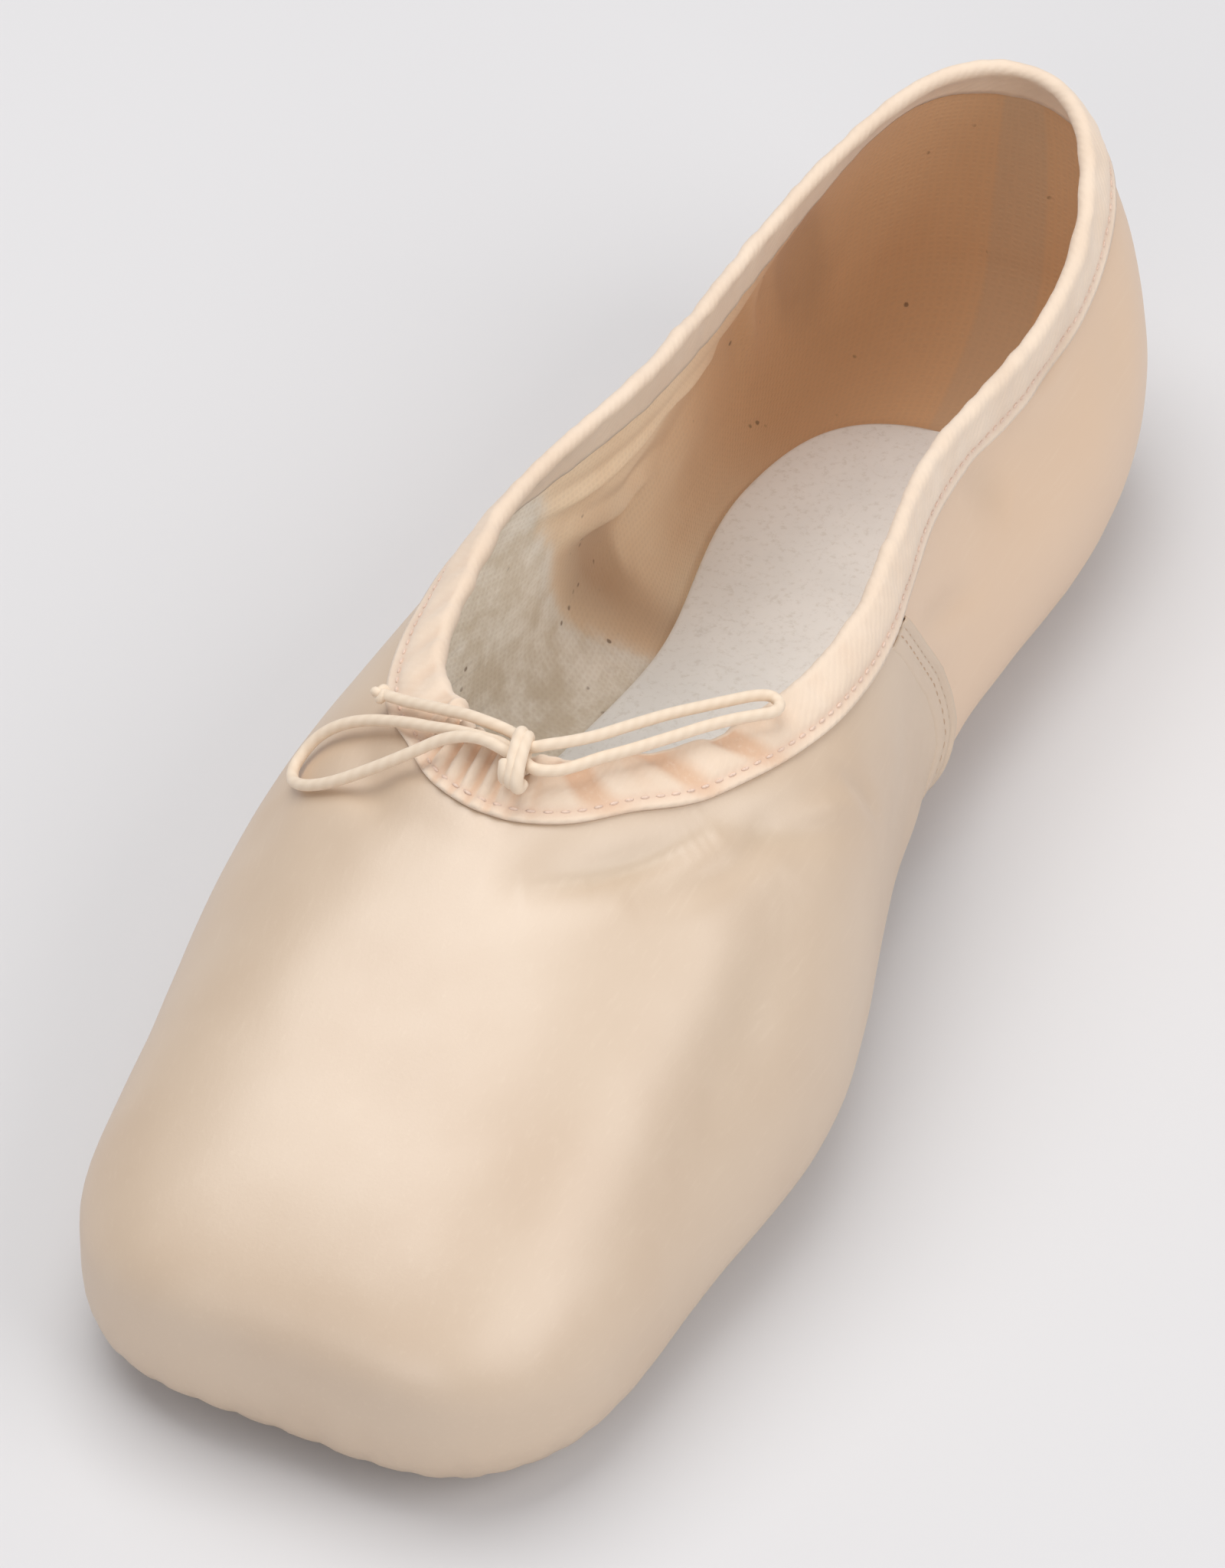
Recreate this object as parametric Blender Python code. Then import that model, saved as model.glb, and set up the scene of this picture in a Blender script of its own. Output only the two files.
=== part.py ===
"""A pointe shoe, standing empty on its sole.

The shoe is straight-lasted. +X runs from heel to toe, +Y is the shoe's left side, +Z is up.
The upper is one wall whose outer face is worked out ring by ring: from the feather edge at the
outsole, out to the widest line, and up over the shoulder to the collar. The sole, the sock, the
binding and the heel strip all take their places from that same face.
"""
import math
from collections import namedtuple

import bmesh
import bpy
import numpy as np

# Sizes of the last and the upper, in metres
LENGTH = 0.238               # back of the heel to the platform
VAMP_LENGTH = 0.070          # platform to the throat, along the floor
BALL_WIDTH = 0.082
BOX_WIDTH = 0.0745           # the toe box behind the platform
PLATFORM_WIDTH = 0.0515
WAIST_WIDTH = 0.0575
HEEL_WIDTH = 0.059
HEEL_HEIGHT = 0.0555         # collar edge at the back seam
SIDE_HEIGHT = 0.0505         # collar edge at the waist
VAMP_HEIGHT = 0.056          # throat edge
BOX_DEPTH = 0.0305           # floor to the platform's upper edge
COLLAR_HEEL_WIDTH = 0.0385
COLLAR_WAIST_WIDTH = 0.038
COLLAR_WING_WIDTH = 0.0455
THROAT_WIDTH = 0.0325
QUARTER_LEAN = 0.0036        # the right quarter hangs this much further out than the left
THROAT_LEAN = 0.0025         # the throat lies this far to the right of the middle line
WALL = 0.0012                # satin, canvas and cotton lining together
BOX_WALL = 0.0026            # the same with the stiffened box between
MARGIN = 0.007               # what is turned in underneath

# Sole and sock
SOLE_THICKNESS = 0.0022
SOLE_HEEL_INSET = 0.030      # the outsole ends this far before the back of the heel
SOLE_TOE_INSET = 0.026
SOLE_HEEL_WIDTH = 0.041
SOLE_WAIST_WIDTH = 0.031
SOLE_BALL_WIDTH = 0.053
ARCH_RISE = 0.004
INSOLE_THICKNESS = 0.0022
SOCK_REACH = 0.08            # the sock's edge, as a share of the way from the sole's to the wall
SOCK_HEEL_REACH = 0.30       # the same behind the outsole's end
EDGE_BEVEL = 0.0004          # small bevel round the outsole's edges

# What is sewn on
BINDING_THICKNESS = 0.0006
BINDING_THROAT_WIDTH = 0.0082
BINDING_WING_WIDTH = 0.0064
BINDING_HEEL_WIDTH = 0.0070  # at the back seam
HEEL_STRIP_WIDTH = 0.019
HEEL_STRIP_THICKNESS = 0.0006

CORD_DIAMETER = 0.0015       # the elastic drawstring
KNOT_LENGTH, KNOT_WIDTH = 0.0084, 0.0038
END_KNOT_DIAMETER = 0.0028

GAP = 0.0003                 # between faces that lie on one another
SOCK_CLEARANCE = 0.0005      # sock to the wall beside it

# Fineness of the facets
AROUND = 88                  # stations round the shoe
LOW_STEPS = 6                # feather edge to the widest line
UP_STEPS = 5                 # widest line to the binding's lower edge

THROAT_X = LENGTH - VAMP_LENGTH
SOLE_START = SOLE_HEEL_INSET
SOLE_END = LENGTH - SOLE_TOE_INSET
FLOOR = SOLE_THICKNESS + GAP         # underside of the upper above the sole's own rise
CENTRE_X = (LENGTH - GAP - HEEL_STRIP_THICKNESS) / 2

# One row for each station from the back seam to the middle of the platform, on the left side.
# x: share of LENGTH. y: share of half the row's width. z, rise: the widest line's height and how
# far the wall goes on straight up from it, shares of the row's height. The shoulder is the wall's
# control point between there and the collar. Collar: x is a share of the throat's distance, y of
# half its width, z of its top height. square: how square the wall turns in under the foot.
Section = namedtuple("Section", "x width y height z rise shoulder_x shoulder_y shoulder_z "
                                "collar_x collar_width collar_y top collar_z square")
SECTIONS = {
    "back seam": Section(
        0.000, HEEL_WIDTH, 0.00, HEEL_HEIGHT, 0.360, 0.288, 0.006, 0.00, 0.900,
        0.0300, COLLAR_HEEL_WIDTH, 0.00, HEEL_HEIGHT, 1.000, 2.2),
    "heel corner": Section(
        0.040, HEEL_WIDTH, 0.70, HEEL_HEIGHT, 0.360, 0.288, 0.046, 0.54, 0.900,
        0.0780, COLLAR_HEEL_WIDTH, 0.61, HEEL_HEIGHT, 0.986, 2.2),
    "heel side": Section(
        0.134, HEEL_WIDTH, 1.00, HEEL_HEIGHT, 0.342, 0.270, 0.134, 0.73, 0.695,
        0.1980, COLLAR_HEEL_WIDTH, 1.00, HEEL_HEIGHT, 0.892, 2.2),
    "waist": Section(
        0.375, WAIST_WIDTH, 1.00, SIDE_HEIGHT, 0.335, 0.197, 0.371, 0.74, 0.763,
        0.5220, COLLAR_WAIST_WIDTH, 1.00, SIDE_HEIGHT, 1.000, 2.2),
    "wing": Section(
        0.538, BALL_WIDTH, 0.80, SIDE_HEIGHT, 0.316, 0.237, 0.513, 0.76, 0.842,
        0.7070, COLLAR_WING_WIDTH, 1.00, SIDE_HEIGHT, 1.010, 2.3),
    "ball": Section(
        0.703, BALL_WIDTH, 1.00, VAMP_HEIGHT, 0.285, 0.250, 0.693, 0.84, 0.804,
        0.8950, THROAT_WIDTH, 1.09, VAMP_HEIGHT, 0.925, 2.5),
    "box side": Section(
        0.853, BOX_WIDTH, 1.00, VAMP_HEIGHT, 0.267, 0.250, 0.765, 0.63, 0.840,
        0.9560, THROAT_WIDTH, 0.63, VAMP_HEIGHT, 0.966, 3.0),
    "platform side": Section(
        0.950, PLATFORM_WIDTH, 1.24, BOX_DEPTH, 0.526, 0.408, 0.853, 0.54, 1.362,
        0.9850, THROAT_WIDTH, 0.41, VAMP_HEIGHT, 0.988, 5.0),
    "platform edge": Section(
        0.990, PLATFORM_WIDTH, 0.89, BOX_DEPTH, 0.592, 0.375, 0.891, 0.27, 1.230,
        0.9970, THROAT_WIDTH, 0.20, VAMP_HEIGHT, 0.998, 5.5),
    "platform middle": Section(
        1.000, PLATFORM_WIDTH, 0.00, BOX_DEPTH, 0.625, 0.375, 0.899, 0.00, 1.197,
        1.0000, THROAT_WIDTH, 0.00, VAMP_HEIGHT, 1.000, 5.5),
}

# The outsole's half outline. x: share of its length, y: share of half the row's width.
SolePoint = namedtuple("SolePoint", "x width y")
SOLE_OUTLINE = {
    "heel end": SolePoint(0.000, SOLE_HEEL_WIDTH, 0.00),
    "heel corner": SolePoint(0.025, SOLE_HEEL_WIDTH, 0.66),
    "heel": SolePoint(0.110, SOLE_HEEL_WIDTH, 1.00),
    "waist": SolePoint(0.340, SOLE_WAIST_WIDTH, 1.00),
    "ball": SolePoint(0.660, SOLE_BALL_WIDTH, 1.00),
    "forefoot": SolePoint(0.850, SOLE_BALL_WIDTH, 0.906),
    "toe corner": SolePoint(0.967, SOLE_BALL_WIDTH, 0.566),
    "toe end": SolePoint(1.000, SOLE_BALL_WIDTH, 0.00),
}
# The drawstring's bow, in metres from the back of the heel, as it lies on the binding and the vamp.
KNOT = (0.1708, -0.0008, 0.0588)
END_KNOT = (0.1612, -0.0236, 0.0530)
Route = namedtuple("Route", "x y z")
LEFT_LOOP = [
    Route(0.1707, -0.0034, 0.0596), Route(0.1702, -0.0058, 0.0595), Route(0.1700, -0.0084, 0.0588),
    Route(0.1703, -0.0112, 0.0574), Route(0.1712, -0.0140, 0.0554), Route(0.1722, -0.0172, 0.0531),
    Route(0.1729, -0.0204, 0.0508), Route(0.1734, -0.0234, 0.0487), Route(0.1733, -0.0262, 0.0468),
    Route(0.1727, -0.0287, 0.0453), Route(0.1713, -0.0306, 0.0442), Route(0.1692, -0.0316, 0.0440),
    Route(0.1669, -0.0315, 0.0447), Route(0.1653, -0.0303, 0.0465), Route(0.1646, -0.0283, 0.0484),
    Route(0.1644, -0.0258, 0.0501), Route(0.1646, -0.0230, 0.0516), Route(0.1651, -0.0202, 0.0529),
    Route(0.1659, -0.0173, 0.0543), Route(0.1668, -0.0142, 0.0556), Route(0.1678, -0.0111, 0.0571),
    Route(0.1685, -0.0082, 0.0581), Route(0.1689, -0.0056, 0.0586), Route(0.1692, -0.0034, 0.0588),
]
RIGHT_LOOP = [
    Route(0.1714, 0.0017, 0.0586), Route(0.1699, 0.0038, 0.0580), Route(0.1676, 0.0056, 0.0577),
    Route(0.1648, 0.0074, 0.0574), Route(0.1618, 0.0094, 0.0569), Route(0.1586, 0.0114, 0.0564),
    Route(0.1552, 0.0135, 0.0559), Route(0.1518, 0.0156, 0.0554), Route(0.1486, 0.0179, 0.0549),
    Route(0.1462, 0.0200, 0.0545), Route(0.1443, 0.0214, 0.0541), Route(0.1426, 0.0214, 0.0540),
    Route(0.1420, 0.0200, 0.0543), Route(0.1434, 0.0183, 0.0548), Route(0.1462, 0.0162, 0.0554),
    Route(0.1496, 0.0138, 0.0561), Route(0.1530, 0.0116, 0.0569), Route(0.1564, 0.0096, 0.0576),
    Route(0.1596, 0.0079, 0.0583), Route(0.1628, 0.0061, 0.0589), Route(0.1658, 0.0041, 0.0596),
    Route(0.1684, 0.0021, 0.0603),
]
FREE_END = [
    Route(0.1676, -0.0027, 0.0594), Route(0.1671, -0.0050, 0.0594), Route(0.1666, -0.0074, 0.0591),
    Route(0.1659, -0.0098, 0.0585), Route(0.1651, -0.0122, 0.0575), Route(0.1642, -0.0147, 0.0564),
    Route(0.1633, -0.0172, 0.0553), Route(0.1624, -0.0197, 0.0542), Route(0.1615, -0.0219, 0.0534),
]
HEEL_FLAT, FOREFOOT_FLAT = 0.176, 0.648    # the arch lies between, as shares of the sole's length
LEAN_MIDDLE, LEAN_REACH = 0.460, 0.400     # where the quarter's lean lies, as shares of LENGTH


def smooth(a, b, x):
    t = np.clip((x - a) / (b - a), 0, 1)
    return t * t * (3 - 2 * t)


def around_spline(knots, values, period, at):
    """A smooth cubic through the values, closed after one period."""
    count = len(knots)
    span = np.diff(np.append(knots, knots[0] + period))
    slope = (np.roll(values, -1) - values) / span
    matrix, right = np.zeros((count, count)), np.zeros(count)
    for i in range(count):
        before, after = (i - 1) % count, (i + 1) % count
        matrix[i, before] += span[before]
        matrix[i, i] += 2 * (span[before] + span[i])
        matrix[i, after] += span[i]
        right[i] = 6 * (slope[i] - slope[before])
    bend = np.linalg.solve(matrix, right)
    i = np.clip(np.searchsorted(knots, at, side="right") - 1, 0, count - 1)
    j, t, h = (i + 1) % count, at - knots[i], span[i]
    return ((bend[i] * (h - t) ** 3 + bend[j] * t ** 3) / (6 * h)
            + (values[i] / h - bend[i] * h / 6) * (h - t) + (values[j] / h - bend[j] * h / 6) * t)


def both_sides(values, odd=False):
    """The left side's column, carried on round the right side."""
    return np.array(list(values) + [-v if odd else v for v in list(values)[1:-1][::-1]])


def knots_along(x, y):
    """How far along the closed line through the points each point lies, and the whole length."""
    step = np.hypot(np.roll(x, -1) - x, np.roll(y, -1) - y)
    return np.concatenate([[0], np.cumsum(step)[:-1]]), step.sum()


WIDEST_X = both_sides([r.x * LENGTH for r in SECTIONS.values()])
WIDEST_Y = both_sides([r.y * r.width / 2 for r in SECTIONS.values()], odd=True)
KNOTS, PERIOD = knots_along(WIDEST_X, WIDEST_Y)
SOLE_X = both_sides([SOLE_START + r.x * (SOLE_END - SOLE_START) for r in SOLE_OUTLINE.values()])
SOLE_Y = both_sides([r.y * r.width / 2 for r in SOLE_OUTLINE.values()], odd=True)
SOLE_KNOTS, SOLE_PERIOD = knots_along(SOLE_X, SOLE_Y)


def stations():
    """Where the facets' lines stand round the shoe: two on each side within the heel strip, and
    the rest evenly, the same on both sides."""
    strip = HEEL_STRIP_WIDTH / 2
    rest = np.linspace(strip, PERIOD / 2, AROUND // 2 - 1)
    half = np.concatenate([[0, strip / 2], rest])
    return np.concatenate([half, PERIOD - half[1:-1][::-1]])


def column(name, at):
    """One of the table's lengths, in metres, all round the shoe."""
    unit = {
        "x": lambda r: LENGTH, "y": lambda r: r.width / 2, "z": lambda r: r.height,
        "rise": lambda r: r.height, "shoulder_x": lambda r: LENGTH,
        "shoulder_y": lambda r: r.width / 2, "shoulder_z": lambda r: r.height,
        "collar_x": lambda r: THROAT_X, "collar_y": lambda r: r.collar_width / 2,
        "collar_z": lambda r: r.top, "square": lambda r: 1.0,
    }[name]
    values = [getattr(r, name) * unit(r) for r in SECTIONS.values()]
    return around_spline(KNOTS, both_sides(values, odd=name.endswith("y")), PERIOD, at)


def sole_rise(x):
    """How far the sole lies above the floor at x: nothing under the heel and the forefoot."""
    length = SOLE_END - SOLE_START
    t = np.clip((x - SOLE_START - HEEL_FLAT * length) / ((FOREFOOT_FLAT - HEEL_FLAT) * length), 0, 1)
    return ARCH_RISE * np.sin(math.pi * t) ** 2


def lean(x, y):
    """How much further out the right quarter's collar stands."""
    near = np.clip(1 - np.abs(x / LENGTH - LEAN_MIDDLE) / LEAN_REACH, 0, 1)
    return -QUARTER_LEAN * smooth(0, 1, near) * np.clip(-y / (COLLAR_HEEL_WIDTH / 3), 0, 1)


def wall_at(x):
    return WALL + (BOX_WALL - WALL) * smooth(0.60 * LENGTH, 0.74 * LENGTH, x)


def binding_at(x):
    """The binding's width: narrow over the wings, and widest where it is gathered at the throat."""
    wing, throat = smooth(0, 0.7 * THROAT_X, x), smooth(0.88 * THROAT_X, THROAT_X, x)
    return (BINDING_HEEL_WIDTH + (BINDING_WING_WIDTH - BINDING_HEEL_WIDTH) * wing
            + (BINDING_THROAT_WIDTH - BINDING_WING_WIDTH) * throat)


def sock_reach(x):
    ahead = smooth(SOLE_START, SOLE_START + SOLE_HEEL_WIDTH / 2, x)
    return SOCK_HEEL_REACH + (SOCK_REACH - SOCK_HEEL_REACH) * ahead


def sole_line(at):
    """The feather edge above each station: the outsole's own outline."""
    place = at / PERIOD * SOLE_PERIOD
    return (around_spline(SOLE_KNOTS, SOLE_X, SOLE_PERIOD, place),
            around_spline(SOLE_KNOTS, SOLE_Y, SOLE_PERIOD, place))


def outward(x, y):
    """Unit normals of a closed line in plan, pointing out of it."""
    dx, dy = np.roll(x, -1) - np.roll(x, 1), np.roll(y, -1) - np.roll(y, 1)
    size = np.hypot(dx, dy)
    return -dy / size, dx / size


def by_length(points, shares):
    """Points along each station's line at these shares of its length, (station, share, xyz)."""
    run = np.concatenate([np.zeros((len(points), 1)),
                          np.cumsum(np.linalg.norm(np.diff(points, axis=1), axis=2), axis=1)], 1)
    out = np.zeros((len(points), shares.shape[1], 3))
    for i, line in enumerate(points):
        for axis in range(3):
            out[i, :, axis] = np.interp(shares[i] * run[i, -1], run[i], line[:, axis])
    return out


def wall_lines(at):
    """The upper's outer face at these stations, as two fine lines each: the turn from the feather
    edge out to the widest line, and the wall from there to the collar."""
    feather = np.stack([*sole_line(at), np.zeros(len(at))], 1)
    feather[:, 2] = sole_rise(feather[:, 0]) + FLOOR
    widest = np.stack([column("x", at), column("y", at), column("z", at)], 1)
    shoulder = np.stack([column("shoulder_x", at), column("shoulder_y", at),
                         column("shoulder_z", at)], 1)
    collar = np.stack([column("collar_x", at), column("collar_y", at), column("collar_z", at)], 1)
    widest[:, 1] += 0.2 * lean(widest[:, 0], widest[:, 1])
    shoulder[:, 1] += 0.7 * lean(shoulder[:, 0], shoulder[:, 1])
    collar[:, 1] += lean(collar[:, 0], collar[:, 1])
    collar[:, 1] -= THROAT_LEAN * smooth(0.78 * THROAT_X, THROAT_X, collar[:, 0])
    straight = widest + np.stack([0 * at, 0 * at, column("rise", at)], 1)

    power = 2 / column("square", at)[:, None, None]
    angle = np.linspace(0, math.pi / 2, 8 * LOW_STEPS + 1)[None, :, None]
    reach, climb = np.sin(angle) ** power, 1 - np.clip(np.cos(angle), 0, 1) ** power
    span = (widest - feather)[:, None]
    turn = feather[:, None] + span * np.concatenate([reach, reach, climb], 2)

    t = np.linspace(0, 1, 161)[None, :, None]
    wall = ((1 - t) ** 3 * widest[:, None] + 3 * (1 - t) ** 2 * t * straight[:, None]
            + 3 * (1 - t) * t ** 2 * shoulder[:, None] + t ** 3 * collar[:, None])
    return turn, wall


def outer_face(at):
    """Rows of the outer face from the turned-in margin to the collar, (station, row, xyz). The
    last three rows lie at the binding's lower edge, its middle and the collar."""
    turn, wall = wall_lines(at)
    feather = turn[:, 0]
    nx, ny = outward(feather[:, 0], feather[:, 1])
    inner = feather - MARGIN * np.stack([nx, ny, 0 * nx], 1)
    inner[:, 2] = sole_rise(inner[:, 0]) + FLOOR
    height = np.linalg.norm(np.diff(wall, axis=1), axis=2).sum(1)
    band = 1 - binding_at(wall[:, -1, 0]) / height
    shares = np.stack([band * k / UP_STEPS for k in range(1, UP_STEPS + 1)]
                      + [(1 + band) / 2, 1 + 0 * band], 1)
    return np.concatenate([inner[:, None], turn[:, ::8], by_length(wall, shares)], 1)


def normals(grid):
    """Outward unit normals at a grid's points."""
    along = np.roll(grid, -1, 0) - np.roll(grid, 1, 0)
    up = np.gradient(grid, axis=1)
    out = np.cross(up, along)
    return out / np.linalg.norm(out, axis=2)[:, :, None]


AT = stations()
OUTER = outer_face(AT)
NORMAL = normals(OUTER)
THICK = wall_at(OUTER[:, :, 0:1])
INNER = OUTER - THICK * NORMAL
FEATHER_ROW, WIDEST_ROW = 1, 1 + LOW_STEPS
BINDING_ROW = WIDEST_ROW + UP_STEPS


def material(name, colour, roughness, metallic=0.0):
    m = bpy.data.materials.new(name)
    m.use_nodes = True
    shader = m.node_tree.nodes["Principled BSDF"]
    shader.inputs["Base Color"].default_value = (*colour, 1)
    shader.inputs["Roughness"].default_value = roughness
    shader.inputs["Metallic"].default_value = metallic
    m.diffuse_color = (*colour, 1)
    return m


def new_object(name, bm, surface):
    bmesh.ops.recalc_face_normals(bm, faces=bm.faces)
    mesh = bpy.data.meshes.new(name)
    bm.to_mesh(mesh)
    bm.free()
    mesh.materials.append(surface)
    mesh.shade_smooth()
    mesh.set_sharp_from_angle(angle=math.radians(40))
    ob = bpy.data.objects.new(name, mesh)
    bpy.context.scene.collection.objects.link(ob)
    return ob


def place(bm, grid):
    """The grid's points as vertices, with the shoe's middle over the origin."""
    return [[bm.verts.new((p[0] - CENTRE_X, p[1], p[2])) for p in row] for row in grid]


def skin(bm, rows, other=lambda j: False, ring=True):
    """Two triangles between each pair of stations and rows; other(j) turns row j's diagonal."""
    count = len(rows)
    for i in range(count if ring else count - 1):
        a, b = rows[i], rows[(i + 1) % count]
        for j in range(len(a) - 1):
            if other(j):
                bm.faces.new((a[j], b[j], a[j + 1]))
                bm.faces.new((b[j], b[j + 1], a[j + 1]))
            else:
                bm.faces.new((a[j], b[j], b[j + 1]))
                bm.faces.new((a[j], b[j + 1], a[j + 1]))


def tube_ring(name, grid, turned, surface):
    """A closed section carried all round the shoe. The rows in turned have the other diagonal, so
    that faces which lie on one another have their edges over one another too."""
    bm = bmesh.new()
    rows = [r + r[:1] for r in place(bm, grid)]
    skin(bm, rows, lambda j: j in turned)
    return new_object(name, bm, surface)


def plate(name, rings, surface):
    """Stacked outlines, closed below and above by rungs from the left side to the right."""
    bm = bmesh.new()
    rows = place(bm, np.stack(rings, 1))
    skin(bm, rows)
    count = len(rows)
    for level in (0, -1):
        side = [r[level] for r in rows]
        for i in range(count // 2):
            quad = [side[i], side[i + 1], side[(count - i - 1) % count], side[(count - i) % count]]
            bm.faces.new(list(dict.fromkeys(quad)))
    return new_object(name, bm, surface)


def raised(outline, z):
    return np.stack([outline[0], outline[1], z], 1)


def upper(surface):
    grid = np.concatenate([OUTER, INNER[:, ::-1]], 1)
    return tube_ring("upper", grid, range(OUTER.shape[1], grid.shape[1]), surface)


def outsole(surface):
    x, y = sole_line(AT)
    nx, ny = outward(x, y)
    edge, inset = (x, y), (x - EDGE_BEVEL * nx, y - EDGE_BEVEL * ny)
    rings = [raised(inset, sole_rise(inset[0])), raised(edge, sole_rise(x) + EDGE_BEVEL),
             raised(edge, sole_rise(x) + SOLE_THICKNESS - EDGE_BEVEL),
             raised(inset, sole_rise(inset[0]) + SOLE_THICKNESS)]
    return plate("outsole", rings, surface)


def insole(surface):
    """Lies on the turned-in margin, its edge part of the way from the sole's out to the wall."""
    turn, _ = wall_lines(AT)
    out = np.cross(np.gradient(turn, axis=1), np.roll(turn, -1, 0) - np.roll(turn, 1, 0))
    out[:, 0] = out[:, 1]
    out /= np.linalg.norm(out, axis=2)[:, :, None]
    inside = turn - (wall_at(turn[:, :, 0:1]) + SOCK_CLEARANCE) * out
    under = FLOOR + wall_at(turn[:, 0, 0]) + GAP
    rings = []
    for level in (0.25, 0.62, 1.0):
        line = np.zeros((len(AT), 3))
        for i, points in enumerate(inside):
            z = sole_rise(turn[i, 0, 0]) + under[i] + level * INSOLE_THICKNESS
            k = int(np.argmax(points[:, 2] > z))
            t = (z - points[k - 1, 2]) / (points[k, 2] - points[k - 1, 2])
            line[i] = points[k - 1] + t * (points[k] - points[k - 1])
            line[i, 2] = z
        line[:, :2] = turn[:, 0, :2] + sock_reach(turn[:, 0, 0])[:, None] * (line - turn[:, 0])[:, :2]
        rings.append(line)
    x, y = turn[:, 0, 0], turn[:, 0, 1]
    nx, ny = outward(x, y)
    lowest = (x - 0.3 * MARGIN * nx, y - 0.3 * MARGIN * ny)
    bottom = raised(lowest, sole_rise(lowest[0]) + under)
    return plate("insole", [bottom] + rings, surface)


def collar_binding(surface):
    """Folded over the collar's edge: a leg down the outside, the roll, a shorter leg inside."""
    rows = [BINDING_ROW, BINDING_ROW + 1, BINDING_ROW + 2]

    def outside(row, off):
        return OUTER[:, row] + off * NORMAL[:, row]

    def inside(row, off):
        return INNER[:, row] - off * NORMAL[:, row]

    edge_out, edge_in, across = OUTER[:, -1], INNER[:, -1], NORMAL[:, -1]
    middle = (edge_out + edge_in) / 2
    up = OUTER[:, -1] - OUTER[:, -2]
    up -= (up * across).sum(1)[:, None] * across
    up /= np.linalg.norm(up, axis=1)[:, None]
    half_wall = THICK[:, -1] / 2

    def roll(off, angle):
        radius = half_wall + off
        return middle + radius * (math.cos(angle) * across + math.sin(angle) * up)

    near, far = GAP, GAP + BINDING_THICKNESS
    turns = [math.radians(a) for a in (45, 90, 135)]
    outer_side = ([outside(r, far) for r in rows] + [roll(far, a) for a in turns]
                  + [inside(r, far) for r in rows[:0:-1]])
    inner_side = ([outside(r, near) for r in rows] + [roll(near, a) for a in turns]
                  + [inside(r, near) for r in rows[:0:-1]])
    grid = np.stack(outer_side + inner_side[::-1], 1)
    inner_leg, outer_leg = len(outer_side) - 2, grid.shape[1] - 3
    return tube_ring("collar_binding", grid, (inner_leg, outer_leg, outer_leg + 1), surface)


def heel_strip(surface):
    """Over the back seam, from behind the outsole's end up to the binding."""
    picks = [-2, -1, 0, 1, 2]
    near, far = GAP, GAP + HEEL_STRIP_THICKNESS

    def part_way(row, share):
        base = (1 - share) * OUTER[picks, row] + share * OUTER[picks, row + 1]
        out = (1 - share) * NORMAL[picks, row] + share * NORMAL[picks, row + 1]
        return base, out / np.linalg.norm(out, axis=1)[:, None]

    first = np.linalg.norm(OUTER[0, FEATHER_ROW + 1] - OUTER[0, FEATHER_ROW])
    last = np.linalg.norm(OUTER[0, BINDING_ROW] - OUTER[0, BINDING_ROW - 1])
    lines = [part_way(FEATHER_ROW, 3 * GAP / first)]
    lines += [part_way(row, 0) for row in range(FEATHER_ROW + 1, BINDING_ROW)]
    lines += [part_way(BINDING_ROW - 1, 1 - 2 * GAP / last)]
    outer_side = [base + far * out for base, out in lines]
    inner_side = [base + near * out for base, out in lines]

    bm = bmesh.new()
    rows = place(bm, np.stack(outer_side + inner_side[::-1], 1))
    skin(bm, [r + r[:1] for r in rows], lambda j: j >= len(lines), ring=False)
    for line in (rows[0], rows[-1]):
        for j in range(len(lines) - 1):
            bm.faces.new((line[j], line[j + 1], line[-2 - j], line[-1 - j]))
    return new_object("heel_strip", bm, surface)


def smooth_route(route, spacing):
    """Evenly spaced points on a smooth curve through the route's points."""
    p = np.array(route)
    p = np.concatenate([2 * p[:1] - p[1:2], p, 2 * p[-1:] - p[-2:-1]])
    t = np.linspace(0, 1, 12, endpoint=False)[:, None]
    fine = [0.5 * (2 * b + (c - a) * t + (2 * a - 5 * b + 4 * c - d) * t ** 2
                   + (3 * b - a - 3 * c + d) * t ** 3)
            for a, b, c, d in zip(p[:-3], p[1:-2], p[2:-1], p[3:])]
    fine = np.concatenate(fine + [p[-2:-1]])
    run = np.concatenate([[0], np.cumsum(np.linalg.norm(np.diff(fine, axis=0), axis=1))])
    at = np.linspace(0, run[-1], max(2, round(run[-1] / spacing) + 1))
    return np.stack([np.interp(at, run, fine[:, axis]) for axis in range(3)], 1)


def cord(name, route, surface):
    curve = bpy.data.curves.new(name, "CURVE")
    curve.dimensions = "3D"
    curve.bevel_depth = CORD_DIAMETER / 2
    curve.bevel_resolution = 2
    curve.use_fill_caps = True
    points = smooth_route(route, 1.8 * CORD_DIAMETER)
    spline = curve.splines.new("POLY")
    spline.points.add(len(points) - 1)
    for point, p in zip(spline.points, points):
        point.co = (p[0] - CENTRE_X, p[1], p[2], 1)
    curve.materials.append(surface)
    ob = bpy.data.objects.new(name, curve)
    bpy.context.scene.collection.objects.link(ob)
    return ob


def knot(name, centre, size, slope, surface):
    """The plain outer shape of a knot, its long side down the slope of the vamp."""
    bm = bmesh.new()
    bmesh.ops.create_uvsphere(bm, u_segments=12, v_segments=8, radius=0.5)
    for v in bm.verts:
        x, y, z = (c * s for c, s in zip(v.co, size))
        v.co = (centre[0] - CENTRE_X + x * math.cos(slope) + z * math.sin(slope), centre[1] + y,
                centre[2] - x * math.sin(slope) + z * math.cos(slope))
    return new_object(name, bm, surface)


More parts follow.
